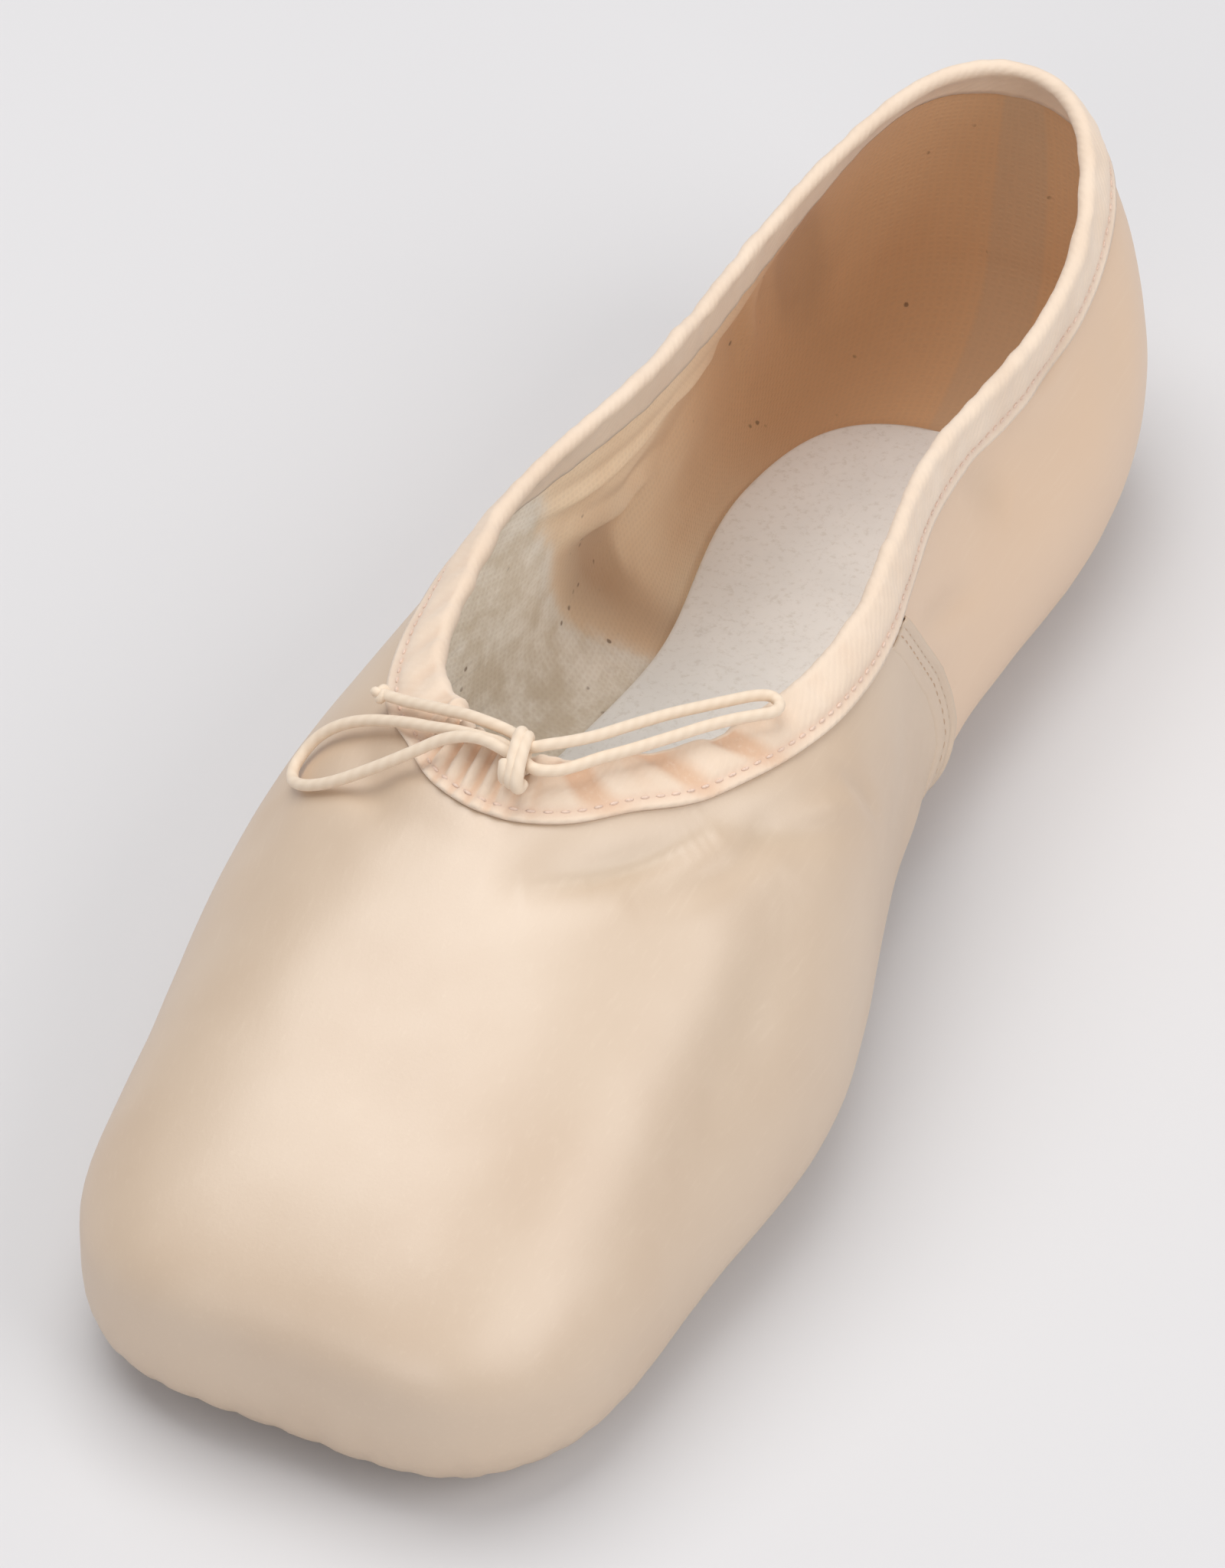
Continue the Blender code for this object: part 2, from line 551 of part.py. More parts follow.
def main():
    for ob in list(bpy.data.objects):
        bpy.data.objects.remove(ob, do_unlink=True)
    satin = material("satin", (0.80, 0.66, 0.53), 0.45)
    strip = material("strip_satin", (0.78, 0.62, 0.49), 0.45)
    cotton = material("binding_cotton", (0.80, 0.63, 0.52), 0.8)
    leather = material("sole_leather", (0.36, 0.20, 0.13), 0.6)
    board = material("sock_board", (0.62, 0.61, 0.58), 0.85)
    upper(satin)
    outsole(leather)
    insole(board)
    collar_binding(cotton)
    heel_strip(strip)
    elastic = material("elastic_cord", (0.78, 0.62, 0.46), 0.7)
    cord("drawstring_loop_left", LEFT_LOOP, elastic)
    cord("drawstring_loop_right", RIGHT_LOOP, elastic)
    cord("drawstring_end", FREE_END, elastic)
    knot("drawstring_knot", KNOT, (KNOT_LENGTH, KNOT_WIDTH, KNOT_WIDTH), math.radians(20), elastic)
    knot("drawstring_end_knot", END_KNOT, (END_KNOT_DIAMETER,) * 3, 0.0, elastic)


main()
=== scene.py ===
# %% [markdown]
# # A pointe shoe, dressed
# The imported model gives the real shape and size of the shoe. This lesson puts the real finish on
# it: satin drawn over a stiffened box, a cotton casing with its elastic drawstring, a canvas
# lining, a pressed sock and a leather sole. Every piece takes its place from the same few lines
# round the shoe that the model itself was made from.

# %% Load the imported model
import math
from collections import namedtuple

import bpy
import numpy as np
from mathutils import Matrix, Vector, noise
from mathutils.bvhtree import BVHTree


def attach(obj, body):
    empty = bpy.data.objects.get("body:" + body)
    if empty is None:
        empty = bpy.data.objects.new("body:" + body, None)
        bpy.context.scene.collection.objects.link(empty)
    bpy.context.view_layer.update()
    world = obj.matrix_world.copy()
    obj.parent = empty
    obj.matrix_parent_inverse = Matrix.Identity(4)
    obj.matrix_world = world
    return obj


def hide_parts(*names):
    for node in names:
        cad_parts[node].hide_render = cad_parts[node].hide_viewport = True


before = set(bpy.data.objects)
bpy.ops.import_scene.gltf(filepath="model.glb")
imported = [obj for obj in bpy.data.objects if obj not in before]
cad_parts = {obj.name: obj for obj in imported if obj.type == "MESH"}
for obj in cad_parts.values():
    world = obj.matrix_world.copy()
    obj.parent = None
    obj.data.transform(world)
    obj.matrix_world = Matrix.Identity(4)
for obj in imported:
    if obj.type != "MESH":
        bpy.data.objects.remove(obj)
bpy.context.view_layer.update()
bpy.ops.object.select_all(action="DESELECT")
print("nodes:", ", ".join(sorted(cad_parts)))

# %% [markdown]
# ## Sizes
# These are the shoe's own sizes, in metres, as the model has them. A soft thing such as a shoe
# has few straight edges to measure by, so each fold and seam further down is placed from the back
# of the heel, the middle line and the floor.

# %% Sizes of the shoe
LENGTH = 0.238               # back of the heel to the platform
VAMP_LENGTH = 0.070
BALL_WIDTH, BOX_WIDTH, PLATFORM_WIDTH = 0.082, 0.0745, 0.0515
WAIST_WIDTH, HEEL_WIDTH = 0.0575, 0.059
HEEL_HEIGHT, SIDE_HEIGHT, VAMP_HEIGHT, BOX_DEPTH = 0.0555, 0.0505, 0.056, 0.0305
COLLAR_HEEL_WIDTH, COLLAR_WAIST_WIDTH = 0.0385, 0.038
COLLAR_WING_WIDTH, THROAT_WIDTH = 0.0455, 0.0325
QUARTER_LEAN = 0.0036        # the right quarter hangs this much further out than the left
THROAT_LEAN = 0.0025         # the throat lies this far to the right of the middle line
WALL, BOX_WALL, MARGIN = 0.0012, 0.0026, 0.007
RIM_WALL, RIM_REACH = 0.0007, 0.010        # the scene's own: the cloth is thinner at the collar
CASING_SEAM = 0.0015                       # the casing's stitches, above its lower edge
SOLE_THICKNESS, SOLE_HEEL_INSET, SOLE_TOE_INSET = 0.0022, 0.030, 0.026
SOLE_HEEL_WIDTH, SOLE_WAIST_WIDTH, SOLE_BALL_WIDTH = 0.041, 0.031, 0.053
ARCH_RISE, INSOLE_THICKNESS = 0.004, 0.0022
SOCK_REACH, SOCK_HEEL_REACH = 0.08, 0.30   # shares of the way from the sole's edge to the wall
BINDING_THROAT_WIDTH, BINDING_WING_WIDTH, BINDING_HEEL_WIDTH = 0.0082, 0.0064, 0.0070
HEEL_STRIP_WIDTH, HEEL_STRIP_THICKNESS = 0.019, 0.0006
CORD_DIAMETER = 0.0015
GAP, SOCK_CLEARANCE = 0.0003, 0.0005
THROAT_X = LENGTH - VAMP_LENGTH
SOLE_START, SOLE_END = SOLE_HEEL_INSET, LENGTH - SOLE_TOE_INSET
FLOOR = SOLE_THICKNESS + GAP
CENTRE_X = (LENGTH - GAP - HEEL_STRIP_THICKNESS) / 2
print("shoe", LENGTH * 1000, "mm long, centre", CENTRE_X)

# %% [markdown]
# ## The camera comes first
# The shoe was photographed with a long lens from above its toe, and the picture was turned a
# little. The camera stands where the photographer stood, and looks at the middle of the one shoe.
# A long lens keeps the toe from growing in front of the heel, which a near camera would do.

# %% Camera
AZIMUTH, ELEVATION, ROLL = 0.2942, 0.6778, 0.1063
STAND = Vector((0.120 - CENTRE_X, 0, 0.025))      # what the photograph's fit turned about
DISTANCE, FOCAL, ASIDE, BELOW = 0.76098, 5442.5, -384.6, 163.7    # the last three in its pixels
MIDDLE_RIGHT, MIDDLE_DOWN = -452.0, 219.0         # the shoe's middle in the picture, from its own
FILL = 1.42                                       # how much larger the shoe is shown

back = Vector((math.cos(ELEVATION) * math.cos(AZIMUTH),
               math.cos(ELEVATION) * math.sin(AZIMUTH), math.sin(ELEVATION)))
level = Vector((0, 0, 1)).cross(back).normalized()
upright = back.cross(level)
right = math.cos(ROLL) * level + math.sin(ROLL) * upright
up = -math.sin(ROLL) * level + math.cos(ROLL) * upright
camera_place = (STAND + back * DISTANCE - right * (ASIDE * DISTANCE / FOCAL)
                + up * (BELOW * DISTANCE / FOCAL))
look = (right * (MIDDLE_RIGHT / FOCAL) - up * (MIDDLE_DOWN / FOCAL) - back).normalized()
right = (right - right.dot(look) * look).normalized()
up = right.cross(look)
bpy.ops.object.camera_add(location=camera_place)
camera = bpy.context.object
camera.matrix_world = Matrix.Translation(camera_place) @ Matrix(
    (right, up, -look)).transposed().to_4x4()
camera.data.sensor_width = 36
camera.data.lens = FOCAL * FILL / 2048 * 36
camera.data.clip_start, camera.data.clip_end = 0.05, 50
bpy.context.scene.camera = camera
print("camera at", [round(c, 3) for c in camera_place], "lens", round(camera.data.lens, 1))

# %% [markdown]
# ## Lines round the shoe
# A last maker draws a shoe as a handful of sections and lets a smooth batten join them. The table
# holds one section for each station from the back seam to the middle of the platform, and a
# closed cubic spline runs through each of its columns. The same curves then serve the upper, its
# lining, the casing and the sock, so that the pieces can't drift apart.

# %% Sections from the heel to the toe
Section = namedtuple("Section", "x width y height z rise shoulder_x shoulder_y shoulder_z "
                                "collar_x collar_width collar_y top collar_z square")
SECTIONS = {
    "back seam": Section(
        0.000, HEEL_WIDTH, 0.00, HEEL_HEIGHT, 0.360, 0.288, 0.006, 0.00, 0.900,
        0.0300, COLLAR_HEEL_WIDTH, 0.00, HEEL_HEIGHT, 1.000, 2.2),
    "heel corner": Section(
        0.040, HEEL_WIDTH, 0.70, HEEL_HEIGHT, 0.360, 0.288, 0.046, 0.54, 0.900,
        0.0780, COLLAR_HEEL_WIDTH, 0.61, HEEL_HEIGHT, 0.986, 2.2),
    "heel side": Section(
        0.134, HEEL_WIDTH, 1.00, HEEL_HEIGHT, 0.342, 0.270, 0.134, 0.73, 0.695,
        0.1980, COLLAR_HEEL_WIDTH, 1.00, HEEL_HEIGHT, 0.892, 2.2),
    "waist": Section(
        0.375, WAIST_WIDTH, 1.00, SIDE_HEIGHT, 0.335, 0.197, 0.371, 0.74, 0.763,
        0.5220, COLLAR_WAIST_WIDTH, 1.00, SIDE_HEIGHT, 1.000, 2.2),
    "wing": Section(
        0.538, BALL_WIDTH, 0.80, SIDE_HEIGHT, 0.316, 0.237, 0.513, 0.76, 0.842,
        0.7070, COLLAR_WING_WIDTH, 1.00, SIDE_HEIGHT, 1.010, 2.3),
    "ball": Section(
        0.703, BALL_WIDTH, 1.00, VAMP_HEIGHT, 0.285, 0.250, 0.693, 0.84, 0.804,
        0.8950, THROAT_WIDTH, 1.09, VAMP_HEIGHT, 0.925, 2.5),
    "box side": Section(
        0.853, BOX_WIDTH, 1.00, VAMP_HEIGHT, 0.267, 0.250, 0.765, 0.63, 0.840,
        0.9560, THROAT_WIDTH, 0.63, VAMP_HEIGHT, 0.966, 3.0),
    "platform side": Section(
        0.950, PLATFORM_WIDTH, 1.24, BOX_DEPTH, 0.526, 0.408, 0.853, 0.54, 1.362,
        0.9850, THROAT_WIDTH, 0.41, VAMP_HEIGHT, 0.988, 5.0),
    "platform edge": Section(
        0.990, PLATFORM_WIDTH, 0.89, BOX_DEPTH, 0.592, 0.375, 0.891, 0.27, 1.230,
        0.9970, THROAT_WIDTH, 0.20, VAMP_HEIGHT, 0.998, 5.5),
    "platform middle": Section(
        1.000, PLATFORM_WIDTH, 0.00, BOX_DEPTH, 0.625, 0.375, 0.899, 0.00, 1.197,
        1.0000, THROAT_WIDTH, 0.00, VAMP_HEIGHT, 1.000, 5.5),
}
SolePoint = namedtuple("SolePoint", "x width y")
SOLE_OUTLINE = {
    "heel end": SolePoint(0.000, SOLE_HEEL_WIDTH, 0.00),
    "heel corner": SolePoint(0.025, SOLE_HEEL_WIDTH, 0.66),
    "heel": SolePoint(0.110, SOLE_HEEL_WIDTH, 1.00),
    "waist": SolePoint(0.340, SOLE_WAIST_WIDTH, 1.00),
    "ball": SolePoint(0.660, SOLE_BALL_WIDTH, 1.00),
    "forefoot": SolePoint(0.850, SOLE_BALL_WIDTH, 0.906),
    "toe corner": SolePoint(0.967, SOLE_BALL_WIDTH, 0.566),
    "toe end": SolePoint(1.000, SOLE_BALL_WIDTH, 0.00),
}
HEEL_FLAT, FOREFOOT_FLAT = 0.176, 0.648
LEAN_MIDDLE, LEAN_REACH = 0.460, 0.400
print(len(SECTIONS), "sections,", len(SOLE_OUTLINE), "points on the sole's half outline")


# %% The batten: a closed cubic through a column
def smooth(a, b, x):
    t = np.clip((x - a) / (b - a), 0, 1)
    return t * t * (3 - 2 * t)


def around_spline(knots, values, period, at):
    count = len(knots)
    span = np.diff(np.append(knots, knots[0] + period))
    slope = (np.roll(values, -1) - values) / span
    matrix, right_side = np.zeros((count, count)), np.zeros(count)
    for i in range(count):
        before, after = (i - 1) % count, (i + 1) % count
        matrix[i, before] += span[before]
        matrix[i, i] += 2 * (span[before] + span[i])
        matrix[i, after] += span[i]
        right_side[i] = 6 * (slope[i] - slope[before])
    bend = np.linalg.solve(matrix, right_side)
    i = np.clip(np.searchsorted(knots, at, side="right") - 1, 0, count - 1)
    j, t, h = (i + 1) % count, at - knots[i], span[i]
    return ((bend[i] * (h - t) ** 3 + bend[j] * t ** 3) / (6 * h)
            + (values[i] / h - bend[i] * h / 6) * (h - t)
            + (values[j] / h - bend[j] * h / 6) * t)


def both_sides(values, odd=False):
    return np.array(list(values) + [-v if odd else v for v in list(values)[1:-1][::-1]])


def knots_along(x, y):
    step = np.hypot(np.roll(x, -1) - x, np.roll(y, -1) - y)
    return np.concatenate([[0], np.cumsum(step)[:-1]]), step.sum()


KNOTS, PERIOD = knots_along(
    both_sides([r.x * LENGTH for r in SECTIONS.values()]),
    both_sides([r.y * r.width / 2 for r in SECTIONS.values()], odd=True))
SOLE_X = both_sides([SOLE_START + r.x * (SOLE_END - SOLE_START) for r in SOLE_OUTLINE.values()])
SOLE_Y = both_sides([r.y * r.width / 2 for r in SOLE_OUTLINE.values()], odd=True)
SOLE_KNOTS, SOLE_PERIOD = knots_along(SOLE_X, SOLE_Y)
COLUMN_UNIT = {
    "x": lambda r: LENGTH, "y": lambda r: r.width / 2, "z": lambda r: r.height,
    "rise": lambda r: r.height, "shoulder_x": lambda r: LENGTH,
    "shoulder_y": lambda r: r.width / 2, "shoulder_z": lambda r: r.height,
    "collar_x": lambda r: THROAT_X, "collar_y": lambda r: r.collar_width / 2,
    "collar_z": lambda r: r.top, "square": lambda r: 1.0}


def column(name, at):
    values = [getattr(r, name) * COLUMN_UNIT[name](r) for r in SECTIONS.values()]
    return around_spline(KNOTS, both_sides(values, odd=name.endswith("y")), PERIOD, at)


print("the widest line is", round(PERIOD * 1000), "mm round")


# %% The outer face, station by station
def sole_rise(x):
    length = SOLE_END - SOLE_START
    t = np.clip((x - SOLE_START - HEEL_FLAT * length) / ((FOREFOOT_FLAT - HEEL_FLAT) * length), 0, 1)
    return ARCH_RISE * np.sin(math.pi * t) ** 2


def lean(x, y):
    near = np.clip(1 - np.abs(x / LENGTH - LEAN_MIDDLE) / LEAN_REACH, 0, 1)
    return -QUARTER_LEAN * smooth(0, 1, near) * np.clip(-y / (COLLAR_HEEL_WIDTH / 3), 0, 1)


def wall_at(x):
    return WALL + (BOX_WALL - WALL) * smooth(0.60 * LENGTH, 0.74 * LENGTH, x)


def wall_here(grid):
    """The wall's thickness at each point of some wall lines: it thins out below the collar."""
    to_rim = np.linalg.norm(grid - grid[:, -1:], axis=2)[:, :, None]
    rim = 1 - smooth(0, RIM_REACH, to_rim)
    return wall_at(grid[:, :, 0:1]) * (1 - rim) + RIM_WALL * rim


def binding_at(x):
    wing, throat = smooth(0, 0.7 * THROAT_X, x), smooth(0.88 * THROAT_X, THROAT_X, x)
    return (BINDING_HEEL_WIDTH + (BINDING_WING_WIDTH - BINDING_HEEL_WIDTH) * wing
            + (BINDING_THROAT_WIDTH - BINDING_WING_WIDTH) * throat)


def sole_line(at):
    place = at / PERIOD * SOLE_PERIOD
    return (around_spline(SOLE_KNOTS, SOLE_X, SOLE_PERIOD, place),
            around_spline(SOLE_KNOTS, SOLE_Y, SOLE_PERIOD, place))


def outward(x, y):
    dx, dy = np.roll(x, -1) - np.roll(x, 1), np.roll(y, -1) - np.roll(y, 1)
    size = np.hypot(dx, dy)
    return -dy / size, dx / size


def by_length(points, shares):
    run = np.concatenate([np.zeros((len(points), 1)),
                          np.cumsum(np.linalg.norm(np.diff(points, axis=1), axis=2), axis=1)], 1)
    out = np.zeros((len(points), shares.shape[1], 3))
    for i, line in enumerate(points):
        for axis in range(3):
            out[i, :, axis] = np.interp(shares[i] * run[i, -1], run[i], line[:, axis])
    return out


def wall_lines(at):
    """The turn from the feather edge out to the widest line, and the wall up to the collar."""
    feather = np.stack([*sole_line(at), np.zeros(len(at))], 1)
    feather[:, 2] = sole_rise(feather[:, 0]) + FLOOR
    widest = np.stack([column("x", at), column("y", at), column("z", at)], 1)
    shoulder = np.stack([column("shoulder_x", at), column("shoulder_y", at),
                         column("shoulder_z", at)], 1)
    collar = np.stack([column("collar_x", at), column("collar_y", at), column("collar_z", at)], 1)
    widest[:, 1] += 0.2 * lean(widest[:, 0], widest[:, 1])
    shoulder[:, 1] += 0.7 * lean(shoulder[:, 0], shoulder[:, 1])
    collar[:, 1] += lean(collar[:, 0], collar[:, 1])
    collar[:, 1] -= THROAT_LEAN * smooth(0.78 * THROAT_X, THROAT_X, collar[:, 0])
    straight = widest + np.stack([0 * at, 0 * at, column("rise", at)], 1)
    power = 2 / column("square", at)[:, None, None]
    angle = np.linspace(0, math.pi / 2, 97)[None, :, None]
    reach, climb = np.sin(angle) ** power, 1 - np.clip(np.cos(angle), 0, 1) ** power
    span = (widest - feather)[:, None]
    turn = feather[:, None] + span * np.concatenate([reach, reach, climb], 2)
    t = np.linspace(0, 1, 161)[None, :, None]
    wall = ((1 - t) ** 3 * widest[:, None] + 3 * (1 - t) ** 2 * t * straight[:, None]
            + 3 * (1 - t) * t ** 2 * shoulder[:, None] + t ** 3 * collar[:, None])
    return turn, wall


def normals(grid):
    along = np.roll(grid, -1, 0) - np.roll(grid, 1, 0)
    out = np.cross(np.gradient(grid, axis=1), along)
    return out / np.linalg.norm(out, axis=2)[:, :, None]


AROUND, TURN_ROWS, WALL_ROWS = 580, 24, 60
STATIONS = np.linspace(0, PERIOD, AROUND, endpoint=False)
turn, wall = wall_lines(STATIONS)
feather_x, feather_y = turn[:, 0, 0], turn[:, 0, 1]
nx, ny = outward(feather_x, feather_y)
margin = [np.stack([feather_x - k * MARGIN * nx, feather_y - k * MARGIN * ny, 0 * nx], 1)
          for k in (1.0, 0.5)]
for line in margin:
    line[:, 2] = sole_rise(line[:, 0]) + FLOOR
turn = by_length(turn, np.tile(np.linspace(0, 1, TURN_ROWS), (AROUND, 1)))
wall = by_length(wall, np.tile(np.linspace(0, 1, WALL_ROWS), (AROUND, 1)))
FACE = np.concatenate([margin[0][:, None], margin[1][:, None], turn, wall[:, 1:]], 1)
FEATHER_ROW, WIDEST_ROW = 2, 2 + TURN_ROWS - 1
COLLAR_ROW = FACE.shape[1] - 1
OUT = normals(FACE)
print("outer face:", FACE.shape[0], "stations of", FACE.shape[1], "points")

# %% [markdown]
# ## Folds and dents
# Satin that is pulled over a hard box shows few but long folds: below the throat, where the wings
# begin, and round the heel, which has no stiffener. Each is a short curved line with a reach and a
# depth. Points near the line move along their normals: a trough goes in, with a little ridge
# on both of its sides, as real cloth has. Moving the points keeps the folds in the mesh itself,
# where a bump texture alone would only be paint.

# %% How a fold moves the cloth
Fold = namedtuple("Fold", "start middle end reach depth ridge")


def fold_line(fold, steps=72):
    t = np.linspace(0, 1, steps)[:, None]
    a, b, c = (np.array(p) / 1000 for p in (fold.start, fold.middle, fold.end))
    b = 2 * b - (a + c) / 2
    return (1 - t) ** 2 * a + 2 * (1 - t) * t * b + t ** 2 * c


ON_SIDES, ON_TOP = (1, 0.25, 1), (1, 1, 0.3)      # how much each direction counts as distance


def folded(points, folds, counts):
    """How far each point moves along its normal, in metres."""
    move = np.zeros(points.shape[:-1])
    for fold in folds:
        line = fold_line(fold)
        far = np.linalg.norm((points[..., None, :] - line[None, None]) * counts, axis=-1)
        nearest = far.argmin(-1)
        share = nearest / (len(line) - 1)
        near = far.min(-1) / (fold.reach / 1000)
        fade = np.clip(np.sin(math.pi * (0.06 + 0.88 * share)), 0, 1) ** 0.8
        bell = np.exp(-near ** 2)
        move -= fold.depth / 1000 * fade * bell * (1 - fold.ridge * 2 * near ** 2)
    return move


def uneven(points, size, shift=0.0):
    flat = (points.reshape(-1, 3) / size + shift).tolist()
    return np.array([noise.noise(Vector(p)) for p in flat]).reshape(points.shape[:-1])


def drape(points):
    """How cloth drawn over a form differs from it, broadly and finely, in metres."""
    return 0.00022 * uneven(points, 0.022) + 0.00010 * uneven(points, 0.008, 5.1)


# Points in millimetres from the back of the heel, the middle line and the floor
VAMP_FOLDS = [
    Fold((161, 20.5, 49.6), (171.5, 15.5, 51.2), (182, 5, 50.2), 4.6, 1.60, 0.30),
    Fold((161, 20.5, 49.6), (171.5, 15.5, 51.2), (182, 5, 50.2), 1.8, 0.70, 0.10),
    Fold((156, 26.5, 46.8), (166, 24.5, 47.5), (176, 18, 48.6), 2.2, 0.80, 0.30),
    Fold((146, 30.5, 42.5), (154, 27.5, 45.7), (161, 21.5, 49.2), 3.6, 1.30, 0.40),
    Fold((140, 32, 39.5), (147, 30, 43.3), (155, 26.5, 46.5), 1.8, -0.60, 0.30),
    Fold((141, 29.5, 44), (138.5, 31.5, 40), (136.5, 32.5, 37), 2.0, 0.80, 0.40),
    Fold((158, 31.5, 42), (177, 34, 36), (200, 33.5, 28), 6.0, 1.30, 0.25),
    Fold((200, 33.5, 28), (212, 31.8, 26), (222, 29.5, 24.6), 6.0, 0.50, 0.20),
    Fold((165, -24, 48), (171.7, -20, 48.5), (178, -15, 49), 3.2, 0.80, 0.30),
    Fold((169.3, -18.2, 50), (174.2, -10, 52.2), (177, -2.3, 52.3), 3.4, -0.45, 0.20),
    Fold((171, -34, 40), (175.5, -33, 37.7), (181, -32, 35), 4.5, 0.40, 0.25),
]
QUARTER_FOLDS = [
    Fold((103, 29.5, 38), (94, 28.5, 34), (84, 27.5, 30), 3.0, 0.90, 0.45),
    Fold((78, 26, 42), (72, 26.5, 38), (68, 27, 33), 5.4, 1.10, 0.25),
    Fold((56, 26, 43), (50, 26.5, 42), (43, 25.5, 43.5), 2.2, 1.00, 0.40),
    Fold((30, 25, 42), (34, 27, 34), (40, 28, 26), 6.0, 0.40, 0.25),
    Fold((112, 29, 24), (106, 30, 15), (104, 29, 10), 5.0, 0.50, 0.30),
    Fold((88, -33, 36), (84, -32, 28), (86, -30, 18), 6.5, 0.70, 0.25),
    Fold((48, -31, 38), (54, -31, 30), (56, -30, 20), 6.0, 0.55, 0.25),
    Fold((120, -31, 36), (112, -31, 28), (108, -30, 18), 5.0, 0.45, 0.30),
    Fold((6, 10, 38), (3, 14, 30), (5, 17, 22), 4.5, 0.35, 0.25),
]


def all_folds(points):
    return folded(points, VAMP_FOLDS, ON_TOP) + folded(points, QUARTER_FOLDS, ON_SIDES)


SHAPE_MOVE = all_folds(FACE)
print("deepest fold", round(SHAPE_MOVE.min() * 1000, 2), "mm")

# %% Pleats under the toe, and a hand-made unevenness
height_share = np.clip((np.arange(FACE.shape[1]) - FEATHER_ROW) / (WIDEST_ROW - FEATHER_ROW), 0, 1)
toe_reach = smooth(0.80 * LENGTH, 0.90 * LENGTH, FACE[:, FEATHER_ROW, 0] + SOLE_TOE_INSET * 0.6)
PLEAT_WIDTH, PLEAT_DEPTH = 0.0052, 0.0007
phase = STATIONS / PLEAT_WIDTH * 2 * math.pi + 1.3 * np.sin(STATIONS / 0.0131) + 0.9 * np.sin(
    STATIONS / 0.0057)
pleat = (0.5 - 0.5 * np.sin(phase)) ** 3
low = smooth(0.02, 0.2, height_share) * (1 - smooth(0.25, 0.95, height_share))
PLEAT_MOVE = -PLEAT_DEPTH * (toe_reach * pleat)[:, None] * low[None, :]
keep_edge = smooth(0, 0.15, height_share)[None, :]
WAVE_MOVE = keep_edge * drape(FACE)
OUTER = FACE + (SHAPE_MOVE * keep_edge + PLEAT_MOVE + WAVE_MOVE)[:, :, None] * OUT
NORMAL = normals(OUTER)
INSIDE = FACE - wall_here(FACE) * OUT + (0.6 * SHAPE_MOVE * keep_edge)[:, :, None] * OUT
print("pleats", round(PLEAT_MOVE.min() * 1000, 2), "mm deep")

# %% [markdown]
# ## Laying a grid over the lines
# Cloth is a sheet, so each cloth piece starts as a plain grid primitive. Its points are laid on
# the lines worked out above, and where it closes on itself its edges are welded. The grid brings
# its own even UV map, which becomes the cloth's thread directions: metres along and metres
# across, so that a weave keeps its size everywhere.

# %% Grid helpers
def run_along(points, axis):
    step = np.linalg.norm(np.diff(points, axis=axis), axis=-1)
    pad = [(0, 0), (0, 0)]
    pad[axis] = (1, 0)
    return np.pad(np.cumsum(step, axis=axis), pad)


def laid_grid(name, points, close_along=False, close_across=False):
    """points is (along, across, xyz) in metres from the heel's back. Returns the piece, not yet
    welded.
    """
    if close_along:
        points = np.concatenate([points, points[:1]])
    if close_across:
        points = np.concatenate([points, points[:, :1]], 1)
    along, across = points.shape[:2]
    bpy.ops.object.select_all(action="DESELECT")
    bpy.ops.mesh.primitive_grid_add(x_subdivisions=across - 1, y_subdivisions=along - 1)
    piece = bpy.context.object
    piece.name = piece.data.name = name
    mesh = piece.data
    if len(mesh.vertices) != along * across:
        raise ValueError(f"{name}: {len(mesh.vertices)} points for {along} x {across}")
    flat = points.reshape(-1, 3) - (CENTRE_X, 0, 0)
    mesh.vertices.foreach_set("co", flat.astype(np.float32).ravel())
    middle = points.shape[1] // 2
    u = np.repeat(run_along(points, 0)[:, middle:middle + 1], across, 1)
    v = run_along(points, 1)
    corner = np.zeros(len(mesh.loops), np.int32)
    mesh.loops.foreach_get("vertex_index", corner)
    uv = np.stack([u.ravel()[corner], v.ravel()[corner]], 1)
    mesh.uv_layers[0].name = "cloth"
    mesh.uv_layers[0].data.foreach_set("uv", uv.astype(np.float32).ravel())
    return piece


def add_mask(piece, name, values):
    mask = piece.data.attributes.new(name, "FLOAT", "POINT")
    mask.data.foreach_set("value", np.asarray(values, np.float32).ravel())


def weld(piece, outside=True):
    bpy.context.view_layer.objects.active = piece
    bpy.ops.object.mode_set(mode="EDIT")
    bpy.ops.mesh.select_all(action="SELECT")
    bpy.ops.mesh.remove_doubles(threshold=1e-6)
    if outside:
        bpy.ops.mesh.normals_make_consistent(inside=False)
    bpy.ops.mesh.select_all(action="DESELECT")
    bpy.ops.object.mode_set(mode="OBJECT")
    bpy.ops.object.shade_smooth()
    return piece


def finished(piece, replaced=()):
    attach(piece, "root")
    if replaced:
        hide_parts(*replaced)
    print(piece.name, len(piece.data.polygons), "faces")
    return piece


def wrapped(values, along=True, across=True):
    if along:
        values = np.concatenate([values, values[:1]])
    return np.concatenate([values, values[:, :1]], 1) if across else values
